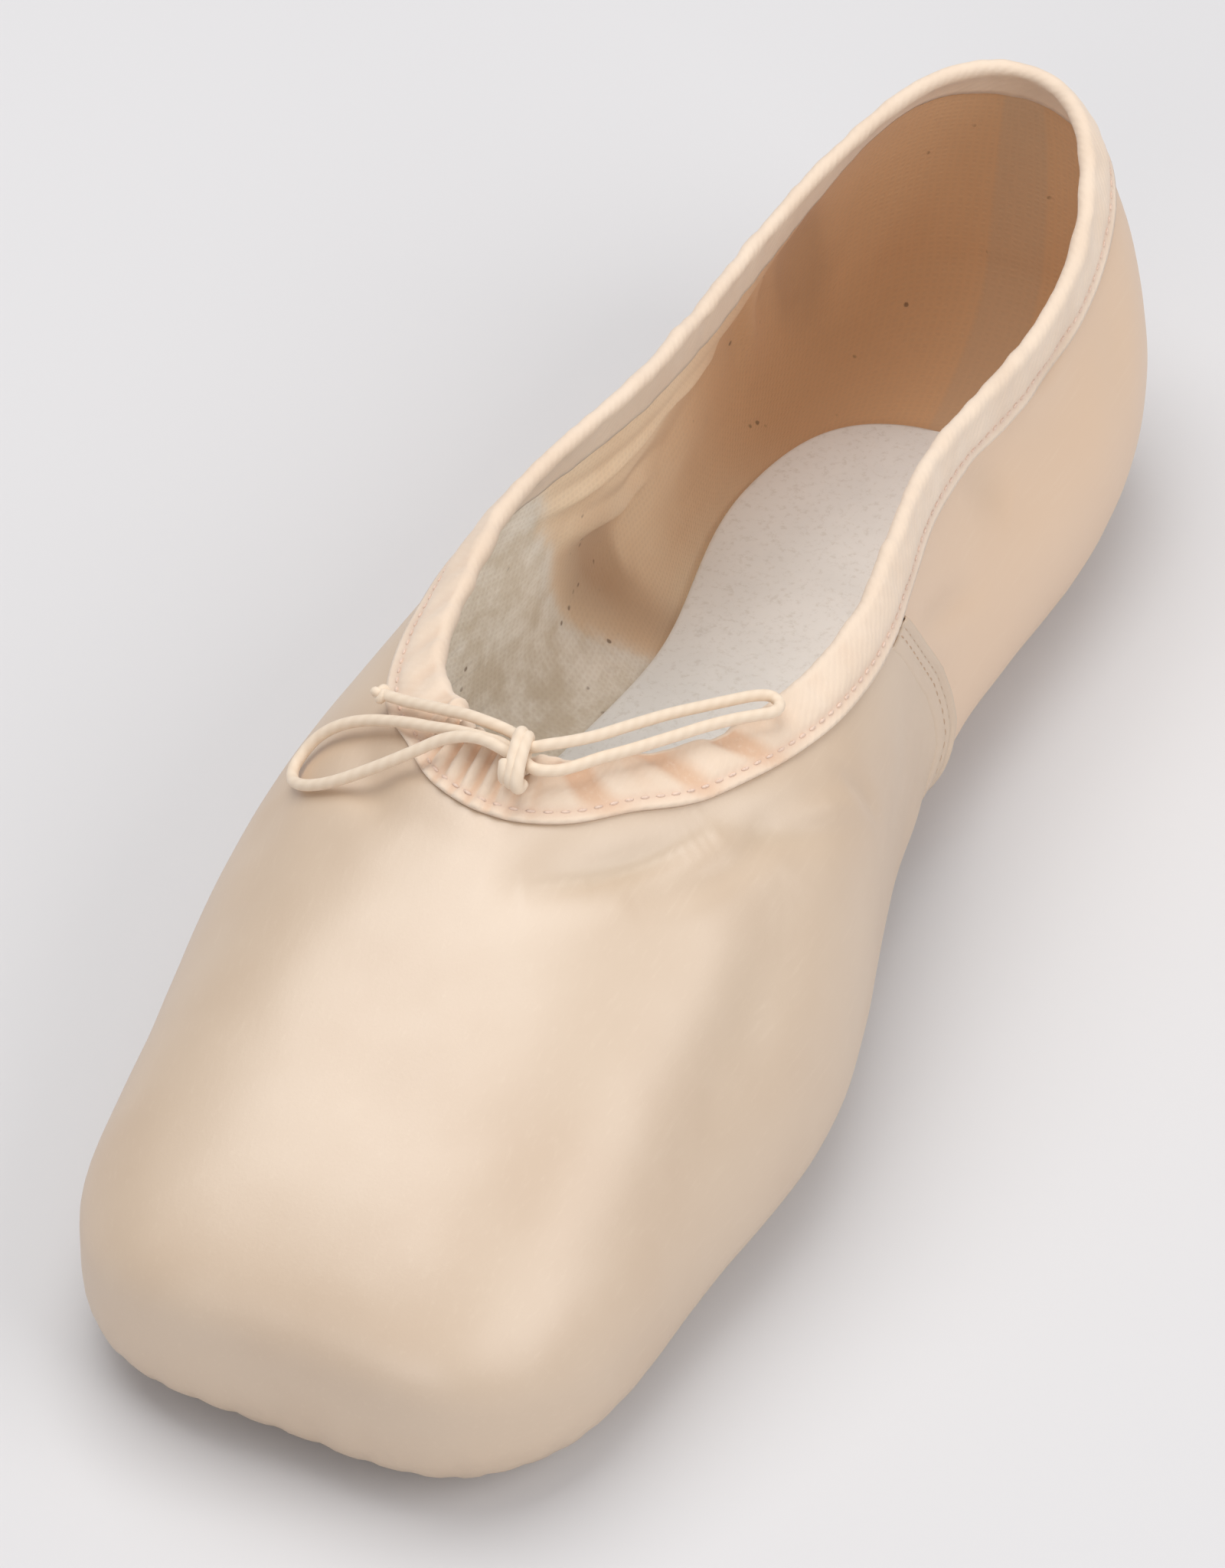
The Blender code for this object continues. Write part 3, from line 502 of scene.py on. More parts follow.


# %% [markdown]
# ## The upper
# One closed wall: satin outside, canvas lining inside. Both faces come from one grid bent right
# round, first up the outside and then down the inside, so that the wall has a real thickness and
# the mesh is closed. The lining has its own creases, which stand into the shoe. Masks on the mesh
# tell the materials where the paste, the damp, the quarters and the creases are; the creases and
# the heel's inside get painted shade from them.

# %% Lining creases
LINING_FOLDS = [
    Fold((107, -27, 41), (94, -26, 38.5), (73, -26, 36.5), 2.0, 1.1, 0.50),
    Fold((73, -26, 36.5), (60, -28, 33), (48, -30, 27), 2.4, 1.0, 0.40),
    Fold((99, -27, 31.5), (78, -29, 22.5), (63, -30, 17), 2.6, 1.5, 0.50),
    Fold((90, -28, 24), (84, -28.5, 16), (80, -26, 10), 3.6, -1.0, 0.10),
    Fold((75, -26, 13), (61, -28, 13), (44, -29, 15), 3.8, 1.4, 0.30),
    Fold((38, -28, 34), (34.5, -29, 24), (31, -28, 15), 2.8, 1.5, 0.40),
    Fold((27, -26, 36), (22, -25, 26), (20, -24, 15), 4.6, -0.9, 0.10),
    Fold((12, -16, 16), (8, -14, 26), (9, -13, 38), 3.6, 0.7, 0.30),
    Fold((110, 27, 16), (96, 26, 24), (80, 26, 32), 4.0, 0.8, 0.30),
    Fold((58, 27, 18), (46, 26, 26), (34, 25, 34), 4.5, 0.7, 0.30),
]
inner_rows = list(range(COLLAR_ROW, TURN_ROWS, -1)) + list(range(TURN_ROWS, -1, -3))
LINING_MOVE = folded(INSIDE, LINING_FOLDS, ON_SIDES)
LINED = INSIDE + (LINING_MOVE + 0.00016 * uneven(INSIDE, 0.009, 2.0) * keep_edge)[:, :, None] * OUT
LINED = LINED[:, inner_rows]
back_seam = np.minimum(STATIONS, PERIOD - STATIONS)
tape = (1 - smooth(0.0042, 0.0050, back_seam))[:, None]
LINED = LINED - (0.00035 * tape)[:, :, None] * OUT[:, inner_rows]
print("lining rows:", LINED.shape[1])

# %% The upper's wall, from one grid
SEAM_HEIGHTS = np.array([0.0075, 0.014, 0.020, 0.025, 0.030, 0.036, 0.0434, 0.050])
SEAM_X = np.array([0.1040, 0.1015, 0.099, 0.0996, 0.1013, 0.1052, 0.1099, 0.115])
ring = np.concatenate([OUTER, LINED], 1)
upper = laid_grid("upper_satin", ring, close_along=True, close_across=True)
count_across = ring.shape[1] + 1
from_paste = ring[:, :, 0] - (0.0945 + 0.5 * (ring[:, :, 2] - 0.0136)
                              + 0.0035 * uneven(ring, 0.011, 9.0))
seam_x = np.interp(ring[:, :, 2], SEAM_HEIGHTS, SEAM_X)
masks = {
    "stiff": smooth(-0.0012, 0.0022, from_paste),
    "paste_edge": np.exp(-((from_paste - 0.001) / 0.0022) ** 2),
    "damp": np.exp(-((from_paste + 0.008) / 0.0075) ** 2) * (1 - smooth(0.022, 0.036, ring[:, :, 2])),
    # painted shade: 0 inside the heel, where the lining is painted darker, and 1 clear of it
    "forward": smooth(0.030, 0.066, ring[:, :, 0] - 0.25 * ring[:, :, 2]),
    # painted shade: how deep the satin's folds and the lining's creases are, to darken them in the
    # colour
    "crease": np.concatenate([np.clip(-SHAPE_MOVE / 0.0020, 0, 1) ** 1.5,
                              np.clip(LINING_MOVE[:, inner_rows] / 0.00035, 0, 1)], 1),
    "quarter": smooth(-0.0006, 0.0006, seam_x - ring[:, :, 0]),
    "low": 1 - smooth(0.004, 0.014, ring[:, :, 2]),
    "tape": np.repeat(tape, ring.shape[1], 1),
}
for name, values in masks.items():
    add_mask(upper, name, wrapped(values))
is_lining = np.arange(count_across - 1) >= OUTER.shape[1] - 1
face_lining = np.tile(is_lining, AROUND).astype(np.int32)
for _ in ("satin", "lining"):
    upper.data.materials.append(None)
upper.data.polygons.foreach_set("material_index", face_lining)
weld(upper)
finished(upper, ["upper"])

# %% [markdown]
# ## Where the outer face is
# Seams and stitches lie on the satin. A ray that is shot at the outer face finds the place where
# they lie, however the folds have moved it.

# %% A tree of the outer face, to shoot rays at
def tree_of(grid):
    rows, columns = grid.shape[:2]
    index = np.arange(rows * columns).reshape(rows, columns)
    nxt = np.roll(index, -1, 0)
    quads = np.stack([index[:, :-1], nxt[:, :-1], nxt[:, 1:], index[:, 1:]], -1).reshape(-1, 4)
    return BVHTree.FromPolygons([Vector(p) for p in grid.reshape(-1, 3).tolist()], quads.tolist())


SATIN_TREE = tree_of(OUTER)


def on_satin(origin, direction):
    place, normal, index, far = SATIN_TREE.ray_cast(Vector(origin), Vector(direction))
    if place is None:
        return None
    station, row = divmod(index, OUTER.shape[1] - 1)
    return np.array(place), NORMAL[station, row]


print("middle of the vamp lies at", on_satin((0.200, 0, 0.2), (0, 0, -1))[0].round(4))

# %% [markdown]
# ## The side seams
# The vamp is sewn over each quarter with two rows of stitches. Its folded edge stands up by the
# thickness of the cloth, on the heel's side of the stitches. It is a narrow strip of the same
# satin, which sinks into the vamp in front and rolls over at its edge.

# %% Two strips along the side seams
SEAM_PROFILE = [(0.0060, -0.00030), (0.0050, 0.00002), (0.0040, 0.00016), (0.0032, 0.00022),
                (0.0026, 0.00006), (0.0020, 0.00028), (0.0014, 0.00034), (0.0009, 0.00010),
                (0.0004, 0.00044), (-0.0001, 0.00066), (-0.0006, 0.00060), (-0.0009, 0.00030),
                (-0.0010, -0.00030)]


def seam_point(side, height, ahead, lift):
    x = np.interp(height, SEAM_HEIGHTS, SEAM_X) + ahead
    found = on_satin((x, side * 0.1, height), (0, -side, 0))
    if found is None:
        return None
    return found[0] + lift * found[1], found[1]


def seam_strip(side):
    heights = np.linspace(0.0085, 0.0450, 60)
    rows = [[seam_point(side, h, ahead, lift)[0] for ahead, lift in SEAM_PROFILE] for h in heights]
    return np.array(rows)


for side, word in ((1, "left"), (-1, "right")):
    strip = laid_grid(f"side_seam_{word}", seam_strip(side))
    weld(strip, outside=False)
    solid = strip.modifiers.new("cloth", "SOLIDIFY")
    solid.thickness, solid.offset = 0.0003, 0
    bpy.ops.object.modifier_apply(modifier="cloth")
    finished(strip)

# %% [markdown]
# ## The casing round the collar
# A bias strip of cotton is folded over the edge as a tunnel for the drawstring. Its lower edge is
# thin and stitched through; above the stitches it is puffed by the cord, and near the knot it is
# gathered into small pleats. It is one ring: up the outside, over the top and down the inside.

# %% The casing's section and its gathers
CASING_AROUND, LEG, INNER_LEG = 980, 16, 9
casing_at = np.linspace(0, PERIOD, CASING_AROUND, endpoint=False)
_, casing_wall = wall_lines(casing_at)
tall = np.linalg.norm(np.diff(casing_wall, axis=1), axis=2).sum(1)
wide = binding_at(casing_wall[:, -1, 0])
shares = 1 - (wide / tall)[:, None] * (1 - np.linspace(0, 1, LEG)[None, :])
leg_face = by_length(casing_wall, shares)
leg_out = normals(leg_face)
leg_face = leg_face + (all_folds(leg_face) + drape(leg_face))[:, :, None] * leg_out
wall_full = wall_here(leg_face)
half_wall = wall_full[:, -1] / 2
collar_run = np.concatenate([[0], np.cumsum(np.linalg.norm(
    np.diff(leg_face[:, -1], axis=0), axis=1))])
from_throat = collar_run[CASING_AROUND // 2] - collar_run[:CASING_AROUND]
across_share = np.linspace(0, 1, LEG)[None, :]
metres_up = across_share * wide[:, None]
print("collar is", round((collar_run[-1]) * 1000), "mm round")


DIAGONALS = (0.0096, 0.0205, 0.0310)      # from the throat's middle to the folds on the left side


def gathers(s, share):
    """s: metres from the throat's middle, plus towards the left side. share: 0 at the edge."""
    close = np.exp(-((s + 0.0055) / 0.0082) ** 4)
    fine = np.sin(s / 0.0024 * 2 * math.pi + 0.9 * np.sin(s / 0.0031) - 1.2 * share)
    fine = np.sign(fine) * np.abs(fine) ** 0.8
    broad = np.sin(s / 0.0068 * 2 * math.pi + 1.7 * np.sin(s / 0.0113) + 2.6 * share)
    reach = np.exp(-(s / 0.040) ** 2) * (1 - 0.7 * close)
    lift = 0.00060 * close * fine * (0.40 + 0.60 * share) + 0.00022 * reach * broad * share
    for place in DIAGONALS:
        aside = (s - place + 0.0060 * (share - 0.5)) / 0.0026
        lift = lift - 0.00070 * np.exp(-aside ** 2) * (1 - 0.7 * aside ** 2) * (0.3 + 0.7 * share)
    return lift


puff = 0.00036 + 0.00036 * smooth(0.15, 0.60, across_share)
stitched = -0.00024 * np.exp(-((metres_up - CASING_SEAM) / 0.00050) ** 2)
ripple = 0.00022 * uneven(leg_face * (1, 1, 0.35), 0.0042, 3.3) + 0.00013 * uneven(
    leg_face, 0.0021, 7.7)
thick = (puff + stitched + ripple * smooth(0.1, 0.4, across_share)
         + gathers(from_throat[:, None], across_share))
thick = np.maximum(thick, 0.00022)
outside = leg_face + (GAP + thick)[:, :, None] * leg_out
print("casing", round(thick.min() * 1000, 2), "to", round(thick.max() * 1000, 2), "mm thick")

# %% Over the top and down the inside
edge, across = leg_face[:, -1], leg_out[:, -1]
upwards = leg_face[:, -1] - leg_face[:, -2]
upwards -= (upwards * across).sum(1)[:, None] * across
upwards /= np.linalg.norm(upwards, axis=1)[:, None]
rim_wave = 0.00034 * uneven(edge[:, None], 0.0052, 21.0) + 0.00018 * uneven(
    edge[:, None], 0.0024, 23.0)
middle_line = edge - half_wall * across + rim_wave * upwards
top_thick = thick[:, -1]
inner_thick = 0.00034 + 0.5 * (top_thick - top_thick.mean())
turns = np.radians([22, 45, 68, 90, 112, 135, 158])


def rolled(angle, cloth):
    radius = half_wall + (GAP + cloth)[:, None]
    return middle_line + radius * (math.cos(angle) * across + math.sin(angle) * upwards)


roll = [rolled(a, top_thick + (inner_thick - top_thick) * k / 8 + 0.00006) for k, a in
        enumerate(turns, 1)]
inner_rows = [LEG - 1 - round(k * 1.35) for k in range(INNER_LEG)]
inner_edge = np.linspace(0, 1, INNER_LEG)
leg_ripple = 0.00018 * uneven(leg_face * (1, 1, 0.5), 0.0036, 11.0)
inside_leg = [leg_face[:, r] - wall_full[:, r] * leg_out[:, r]
              - (GAP + inner_thick * (1 - 0.45 * k) + leg_ripple[:, r])[:, None] * leg_out[:, r]
              for k, r in zip(inner_edge, inner_rows)]
near_inside = [leg_face[:, r] - wall_full[:, r] * leg_out[:, r] - 0.6 * GAP * leg_out[:, r]
               for r in inner_rows[::-2]]
near_roll = [rolled(a, 0 * top_thick - 0.4 * GAP) for a in turns[::-3]]
near_outside = [leg_face[:, r] + 0.6 * GAP * leg_out[:, r] for r in range(LEG - 1, -1, -3)]
section = ([outside[:, r] for r in range(LEG)] + roll + inside_leg + near_inside + near_roll
           + near_outside)
casing_grid = np.stack(section, 1)
casing = laid_grid("collar_casing", casing_grid, close_along=True, close_across=True)
# painted shade: the groove that the stitches pull into the casing, to be darkened in its colour
stitch_groove_shade = np.zeros(casing_grid.shape[:2])
stitch_groove_shade[:, :LEG] = np.exp(-((metres_up - CASING_SEAM) / 0.0006) ** 2)
add_mask(casing, "stitched", wrapped(stitch_groove_shade))
# painted shade: the valleys of the gathers, to be darkened in the cotton's colour
valley = np.zeros(casing_grid.shape[:2])
valley[:, :LEG] = np.clip(-(gathers(from_throat[:, None], across_share)) / 0.0004, 0, 1)
add_mask(casing, "valley", wrapped(valley))
weld(casing)
finished(casing, ["collar_binding"])

# %% [markdown]
# ## The sock and the sole
# Both are flat plates with the same outline rule: a ring of points at each level, and rungs from
# the left side to the right that carry the face across. The rungs let the sole arch up at the
# waist, and let the sock crown a little as it does when it is pasted down.

# %% A plate from its rings
RUNGS = 26


def plate(name, rings, crown_top=0.0, crown_under=0.0):
    half = len(rings[0]) // 2
    pick_left = np.arange(half + 1)
    pick_right = (-pick_left) % len(rings[0])
    left = [r[pick_left] for r in rings]
    right_side = [r[pick_right] for r in rings]
    columns = list(left)
    for k in range(1, RUNGS):
        t = k / RUNGS
        point = left[-1] * (1 - t) + right_side[-1] * t
        point[:, 2] += crown_top * 4 * t * (1 - t)
        columns.append(point)
    columns += right_side[::-1]
    for k in range(1, RUNGS):
        t = k / RUNGS
        point = right_side[0] * (1 - t) + left[0] * t
        point[:, 2] += crown_under * 4 * t * (1 - t)
        columns.append(point)
    return laid_grid(name, np.stack(columns, 1), close_across=True)


plate_at = np.linspace(0, PERIOD, 360, endpoint=False)
sole_x, sole_y = sole_line(plate_at)
sole_nx, sole_ny = outward(sole_x, sole_y)


def sole_ring(inset, lift):
    x, y = sole_x - inset * sole_nx, sole_y - inset * sole_ny
    return np.stack([x, y, sole_rise(x) + lift], 1)


EDGE_ROUND = [(0.0022, 0.0), (0.0009, 0.00001), (0.0004, 0.00006), (0.00012, 0.00022),
              (0.0, 0.00050), (0.00004, 0.0011), (0.0, 0.0017), (0.00012, 0.00198),
              (0.0004, 0.00214), (0.0009, 0.00220)]
outsole = plate("leather_sole", [sole_ring(i, z) for i, z in EDGE_ROUND])
weld(outsole)
finished(outsole, ["outsole"])

# %% The sock, fitted out to the wall at each of its levels
sock_turn, _ = wall_lines(plate_at)
sock_out = np.cross(np.gradient(sock_turn, axis=1),
                    np.roll(sock_turn, -1, 0) - np.roll(sock_turn, 1, 0))
sock_out[:, 0] = sock_out[:, 1]
sock_out /= np.linalg.norm(sock_out, axis=2)[:, :, None]
within = sock_turn - (wall_at(sock_turn[:, :, 0:1]) + SOCK_CLEARANCE) * sock_out
under = FLOOR + wall_at(sock_turn[:, 0, 0]) + GAP


def sock_ring(level, inset=0.0):
    line = np.zeros((len(plate_at), 3))
    for i, points in enumerate(within):
        z = sole_rise(sock_turn[i, 0, 0]) + under[i] + level * INSOLE_THICKNESS
        k = int(np.argmax(points[:, 2] > z))
        t = (z - points[k - 1, 2]) / (points[k, 2] - points[k - 1, 2])
        line[i] = points[k - 1] + t * (points[k] - points[k - 1])
        line[i, 2] = z
    edge = sock_turn[:, 0]
    ahead = smooth(SOLE_START, SOLE_START + SOLE_HEEL_WIDTH / 2, edge[:, 0])
    share = SOCK_HEEL_REACH + (SOCK_REACH - SOCK_HEEL_REACH) * ahead
    line[:, :2] = edge[:, :2] + share[:, None] * (line - edge)[:, :2]
    px, py = outward(line[:, 0], line[:, 1])
    line[:, 0] -= inset * px
    line[:, 1] -= inset * py
    return line


base_x, base_y = sole_x - 0.3 * MARGIN * sole_nx, sole_y - 0.3 * MARGIN * sole_ny
base = np.stack([base_x, base_y, sole_rise(base_x) + under], 1)
sock = plate("sock", [base, sock_ring(0.25), sock_ring(0.62), sock_ring(0.86),
                      sock_ring(0.96, 0.0002), sock_ring(1.0, 0.0007)], crown_top=0.0004)
weld(sock)
finished(sock, ["insole"])

# %% [markdown]
# ## The strip over the back seam
# A band of satin covers the seam at the heel, from the sole up to the casing, sewn down along
# both of its edges. Its edges are turned under, so that they roll into the satin below.

# %% Heel strip
strip_at = np.linspace(-HEEL_STRIP_WIDTH / 2, HEEL_STRIP_WIDTH / 2, 33)
strip_turn, strip_wall = wall_lines(np.concatenate([strip_at % PERIOD, STATIONS[60:-60:60]]))
strip_face = np.concatenate([strip_turn, strip_wall[:, 1:]], 1)[:len(strip_at)]
tall = np.linalg.norm(np.diff(strip_face, axis=1), axis=2).sum(1)
top_share = 1 - (BINDING_HEEL_WIDTH - 0.0008) / tall
strip_face = by_length(strip_face, 0.015 + (top_share - 0.015)[:, None]
                       * np.linspace(0, 1, 70)[None, :])
strip_out = np.cross(np.gradient(strip_face, axis=1), np.gradient(strip_face, axis=0))
strip_out /= np.linalg.norm(strip_out, axis=2)[:, :, None]
strip_face = strip_face + (all_folds(strip_face) + drape(strip_face))[:, :, None] * strip_out
from_edge = np.minimum(strip_at - strip_at[0], strip_at[-1] - strip_at)
strip_lift = (GAP + HEEL_STRIP_THICKNESS) * smooth(-0.0002, 0.0009, from_edge)
strip_lift -= 0.00022 * np.exp(-((from_edge - 0.0020) / 0.0005) ** 2)
ruck = 0.00012 * uneven(strip_face * (1, 0.6, 2.2), 0.006, 4.0)
strip_top = strip_face + (strip_lift[:, None] + ruck)[:, :, None] * strip_out
strip_under = strip_face + 0.00004 * strip_out
heel_strip = laid_grid("heel_strip_satin", np.concatenate([strip_top, strip_under[:, ::-1]], 1),
                       close_across=True)
weld(heel_strip)
bpy.ops.object.mode_set(mode="EDIT")
bpy.ops.mesh.select_non_manifold()
bpy.ops.mesh.fill_holes(sides=0)
bpy.ops.mesh.select_all(action="DESELECT")
bpy.ops.object.mode_set(mode="OBJECT")
finished(heel_strip, ["heel_strip"])

# %% [markdown]
# ## Stitches
# A stitch is a short thread that dips into the cloth at both ends. One is modelled, and each of
# the others is a copy of it, laid along its line on the cloth and joined to its row.

# %% One stitch
bpy.ops.mesh.primitive_uv_sphere_add(segments=8, ring_count=5, radius=1)
one_stitch = bpy.context.object
one_stitch.name = "one_stitch"
bpy.ops.object.shade_smooth()


def frame_on(tangent, normal):
    x = Vector(tangent).normalized()
    z = Vector(normal)
    z = (z - z.dot(x) * x).normalized()
    return Matrix((x, z.cross(x), z)).transposed().to_4x4()


def stitch_row(name, path, out, every, long, thick, start=0.0):
    """Copies of the one stitch along a path, each pressed a little into the cloth."""
    run = np.concatenate([[0], np.cumsum(np.linalg.norm(np.diff(path, axis=0), axis=1))])
    places = np.arange(start, run[-1] - every / 2, every)
    copies = []
    for k, at in enumerate(places):
        ends = [np.array([np.interp(at + d, run, path[:, a]) for a in range(3)])
                for d in (0, long)]
        normal = np.array([np.interp(at + long / 2, run, out[:, a]) for a in range(3)])
        centre = (ends[0] + ends[1]) / 2 - (CENTRE_X, 0, 0)
        copy = one_stitch.copy()
        copy.data = one_stitch.data.copy()
        bpy.context.collection.objects.link(copy)
        turn_to = frame_on(ends[1] - ends[0], normal)
        size = Matrix.Diagonal((long / 2, thick * 0.62, thick * 0.5, 1))
        copy.matrix_world = Matrix.Translation(centre) @ turn_to @ size
        copies.append(copy)
    bpy.ops.object.select_all(action="DESELECT")
    for copy in copies:
        copy.select_set(True)
    bpy.context.view_layer.objects.active = copies[0]
    bpy.ops.object.join()
    row = bpy.context.object
    row.name = row.data.name = name
    bpy.ops.object.transform_apply(location=True, rotation=True, scale=True)
    print(name, len(copies), "stitches")
    return row


# %% Rows along the casing, the side seams and the heel strip
STITCH, THREAD = 0.0021, 0.00036
row = int(round(CASING_SEAM / BINDING_WING_WIDTH * (LEG - 1)))
line_at = CASING_SEAM / wide
casing_row = np.array([[np.interp(line_at[i], across_share[0], outside[i, :, a])
                        for a in range(3)] for i in range(CASING_AROUND)])
casing_row = np.concatenate([casing_row, casing_row[:1]])
casing_out = np.concatenate([leg_out[:, row], leg_out[:1, row]])
stitches = {"casing_stitches": ("binding_cotton", stitch_row(
    "casing_stitches", casing_row + 0.00003 * casing_out, casing_out, STITCH, 0.0013, THREAD))}
for side, word in ((1, "left"), (-1, "right")):
    heights = np.linspace(0.0095, 0.0442, 64)
    for k, ahead in enumerate((0.0009, 0.0026)):
        found = [seam_point(side, h, ahead, 0.00017) for h in heights]
        stitches[f"seam_{word}_{k}"] = ("satin", stitch_row(
            f"side_seam_{word}_stitches_{k + 1}", np.array([f[0] for f in found]),
            np.array([f[1] for f in found]), 0.0019, 0.0012, THREAD, 0.0005 * k))
for k, column_at in enumerate((6, 26)):
    stitches[f"strip_{k}"] = ("strip_satin", stitch_row(
        f"heel_strip_stitches_{k + 1}", strip_top[column_at, 2:-2], strip_out[column_at, 2:-2],
        STITCH, 0.0013, THREAD))
for slot_name, piece in stitches.values():
    finished(piece)
bpy.data.objects.remove(one_stitch)

# %% [markdown]
# ## The drawstring
# An elastic cord runs through the casing, comes out at the middle of the throat and is tied in a
# small bow: a flat loop to the right that lies over the opening, a rounder loop to the left that
# hangs over the vamp, and a short end with a knot. The whole visible cord is one tube along one
# path, and the two knots are short tubes wound round it.

# %% The cord's path, as the model has it
KNOT = (0.1708, -0.0008, 0.0588)
END_KNOT = (0.1612, -0.0236, 0.0530)
EXIT = (0.1697, -0.0004, 0.0563)
LEFT_LOOP = [
    (0.1707, -0.0034, 0.0596), (0.1702, -0.0058, 0.0595), (0.1700, -0.0084, 0.0588),
    (0.1703, -0.0112, 0.0574), (0.1712, -0.0140, 0.0554), (0.1722, -0.0172, 0.0531),
    (0.1729, -0.0204, 0.0508), (0.1734, -0.0234, 0.0487), (0.1733, -0.0262, 0.0468),
    (0.1727, -0.0287, 0.0453), (0.1713, -0.0306, 0.0442), (0.1692, -0.0316, 0.0440),
    (0.1669, -0.0315, 0.0447), (0.1653, -0.0303, 0.0465), (0.1646, -0.0283, 0.0484),
    (0.1644, -0.0258, 0.0501), (0.1646, -0.0230, 0.0516), (0.1651, -0.0202, 0.0529),
    (0.1659, -0.0173, 0.0543), (0.1668, -0.0142, 0.0556), (0.1678, -0.0111, 0.0571),
    (0.1685, -0.0082, 0.0581), (0.1689, -0.0056, 0.0586), (0.1692, -0.0034, 0.0588)]
RIGHT_LOOP = [
    (0.1714, 0.0017, 0.0586), (0.1699, 0.0038, 0.0580), (0.1676, 0.0056, 0.0577),
    (0.1648, 0.0074, 0.0574), (0.1618, 0.0094, 0.0569), (0.1586, 0.0114, 0.0564),
    (0.1552, 0.0135, 0.0559), (0.1518, 0.0156, 0.0554), (0.1486, 0.0179, 0.0549),
    (0.1462, 0.0200, 0.0545), (0.1443, 0.0214, 0.0541), (0.1426, 0.0214, 0.0540),
    (0.1420, 0.0200, 0.0543), (0.1434, 0.0183, 0.0548), (0.1462, 0.0162, 0.0554),
    (0.1496, 0.0138, 0.0561), (0.1530, 0.0116, 0.0569), (0.1564, 0.0096, 0.0576),
    (0.1596, 0.0079, 0.0583), (0.1628, 0.0061, 0.0589), (0.1658, 0.0041, 0.0596),
    (0.1684, 0.0021, 0.0603)]
FREE_END = [
    (0.1676, -0.0027, 0.0594), (0.1671, -0.0050, 0.0594), (0.1666, -0.0074, 0.0591),
    (0.1659, -0.0098, 0.0585), (0.1651, -0.0122, 0.0575), (0.1642, -0.0147, 0.0564),
    (0.1633, -0.0172, 0.0553), (0.1624, -0.0197, 0.0542), (0.1612, -0.0236, 0.0530)]


def smooth_route(route, spacing):
    p = np.array(route)
    p = np.concatenate([2 * p[:1] - p[1:2], p, 2 * p[-1:] - p[-2:-1]])
    t = np.linspace(0, 1, 12, endpoint=False)[:, None]
    fine = [0.5 * (2 * b + (c - a) * t + (2 * a - 5 * b + 4 * c - d) * t ** 2
                   + (3 * b - a - 3 * c + d) * t ** 3)
            for a, b, c, d in zip(p[:-3], p[1:-2], p[2:-1], p[3:])]
    fine = np.concatenate(fine + [p[-2:-1]])
    run = np.concatenate([[0], np.cumsum(np.linalg.norm(np.diff(fine, axis=0), axis=1))])
    at = np.linspace(0, run[-1], max(2, round(run[-1] / spacing) + 1))
    return np.stack([np.interp(at, run, fine[:, axis]) for axis in range(3)], 1)


def tube(name, path, radius, sides=14):
    """A round cord along a path, its ends closed to a point."""
    ahead = np.gradient(path, axis=0)
    ahead /= np.linalg.norm(ahead, axis=1)[:, None]
    side = np.cross(ahead[0], (0.0, 0.0, 1.0))
    sides_along = []
    for direction in ahead:
        side = side - side.dot(direction) * direction
        side /= np.linalg.norm(side)
        sides_along.append(side)
    side = np.array(sides_along)
    lift = np.cross(ahead, side)
    angle = np.linspace(0, 2 * math.pi, sides, endpoint=False)
    ring = (np.cos(angle)[None, :, None] * side[:, None]
            + np.sin(angle)[None, :, None] * lift[:, None])
    rings = path[:, None] + radius * ring
    caps = [path[:1, None] - 0.5 * radius * ahead[:1, None] + 0 * ring[:1],
            path[:1, None] - 0.35 * radius * ahead[:1, None] + 0.7 * radius * ring[:1], rings,
            path[-1:, None] + 0.35 * radius * ahead[-1:, None] + 0.7 * radius * ring[-1:],
            path[-1:, None] + 0.5 * radius * ahead[-1:, None] + 0 * ring[-1:]]
    piece = laid_grid(name, np.concatenate(caps), close_across=True)
    return weld(piece)


cord_path = smooth_route([EXIT, (0.1703, 0.0000, 0.0577), KNOT] + LEFT_LOOP
                         + [(0.1705, -0.0004, 0.0586)] + RIGHT_LOOP
                         + [(0.1691, -0.0004, 0.0595)] + FREE_END, 0.0007)
drawstring = tube("drawstring", cord_path, CORD_DIAMETER / 2)

# %% The two knots
SLOPE = math.radians(20)


def wraps(turns_round, tall_half, deep_half, wide_half, tilt):
    t = np.linspace(0, 1, 90)
    a = t * turns_round * 2 * math.pi + 0.6
    y = (t - 0.5) * 2 * wide_half + 0.0005 * np.sin(a)
    down, lift = tall_half * np.sin(a) + tilt * y, deep_half * np.cos(a)
    return np.stack([KNOT[0] + down * math.cos(SLOPE) + lift * math.sin(SLOPE), KNOT[1] + y,
                     KNOT[2] - down * math.sin(SLOPE) + lift * math.cos(SLOPE)], 1)


knot = tube("drawstring_bow_knot", wraps(2.3, 0.0031, 0.0015, 0.0011, 0.35), 0.00082)
t = np.linspace(0, 2 * math.pi, 80)
trefoil = np.stack([np.sin(t) + 1.6 * np.sin(2 * t), np.cos(t) - 1.6 * np.cos(2 * t),
                    -1.1 * np.sin(3 * t)], 1) * 0.00030 + END_KNOT
end_knot = tube("drawstring_tip_knot", trefoil, 0.00062, sides=10)
finished(drawstring, ["drawstring_loop_left", "drawstring_loop_right",
                                      "drawstring_end"])
finished(knot, ["drawstring_knot"])
finished(end_knot, ["drawstring_end_knot"])

# %% [markdown]
# ## Shader maths as Python
# A material is a small sum on numbers that change over the surface. Wrapping a node's output in a
# class with the usual operators lets the sum be written as one, and one method makes any other
# node from its type, its settings and its inputs.

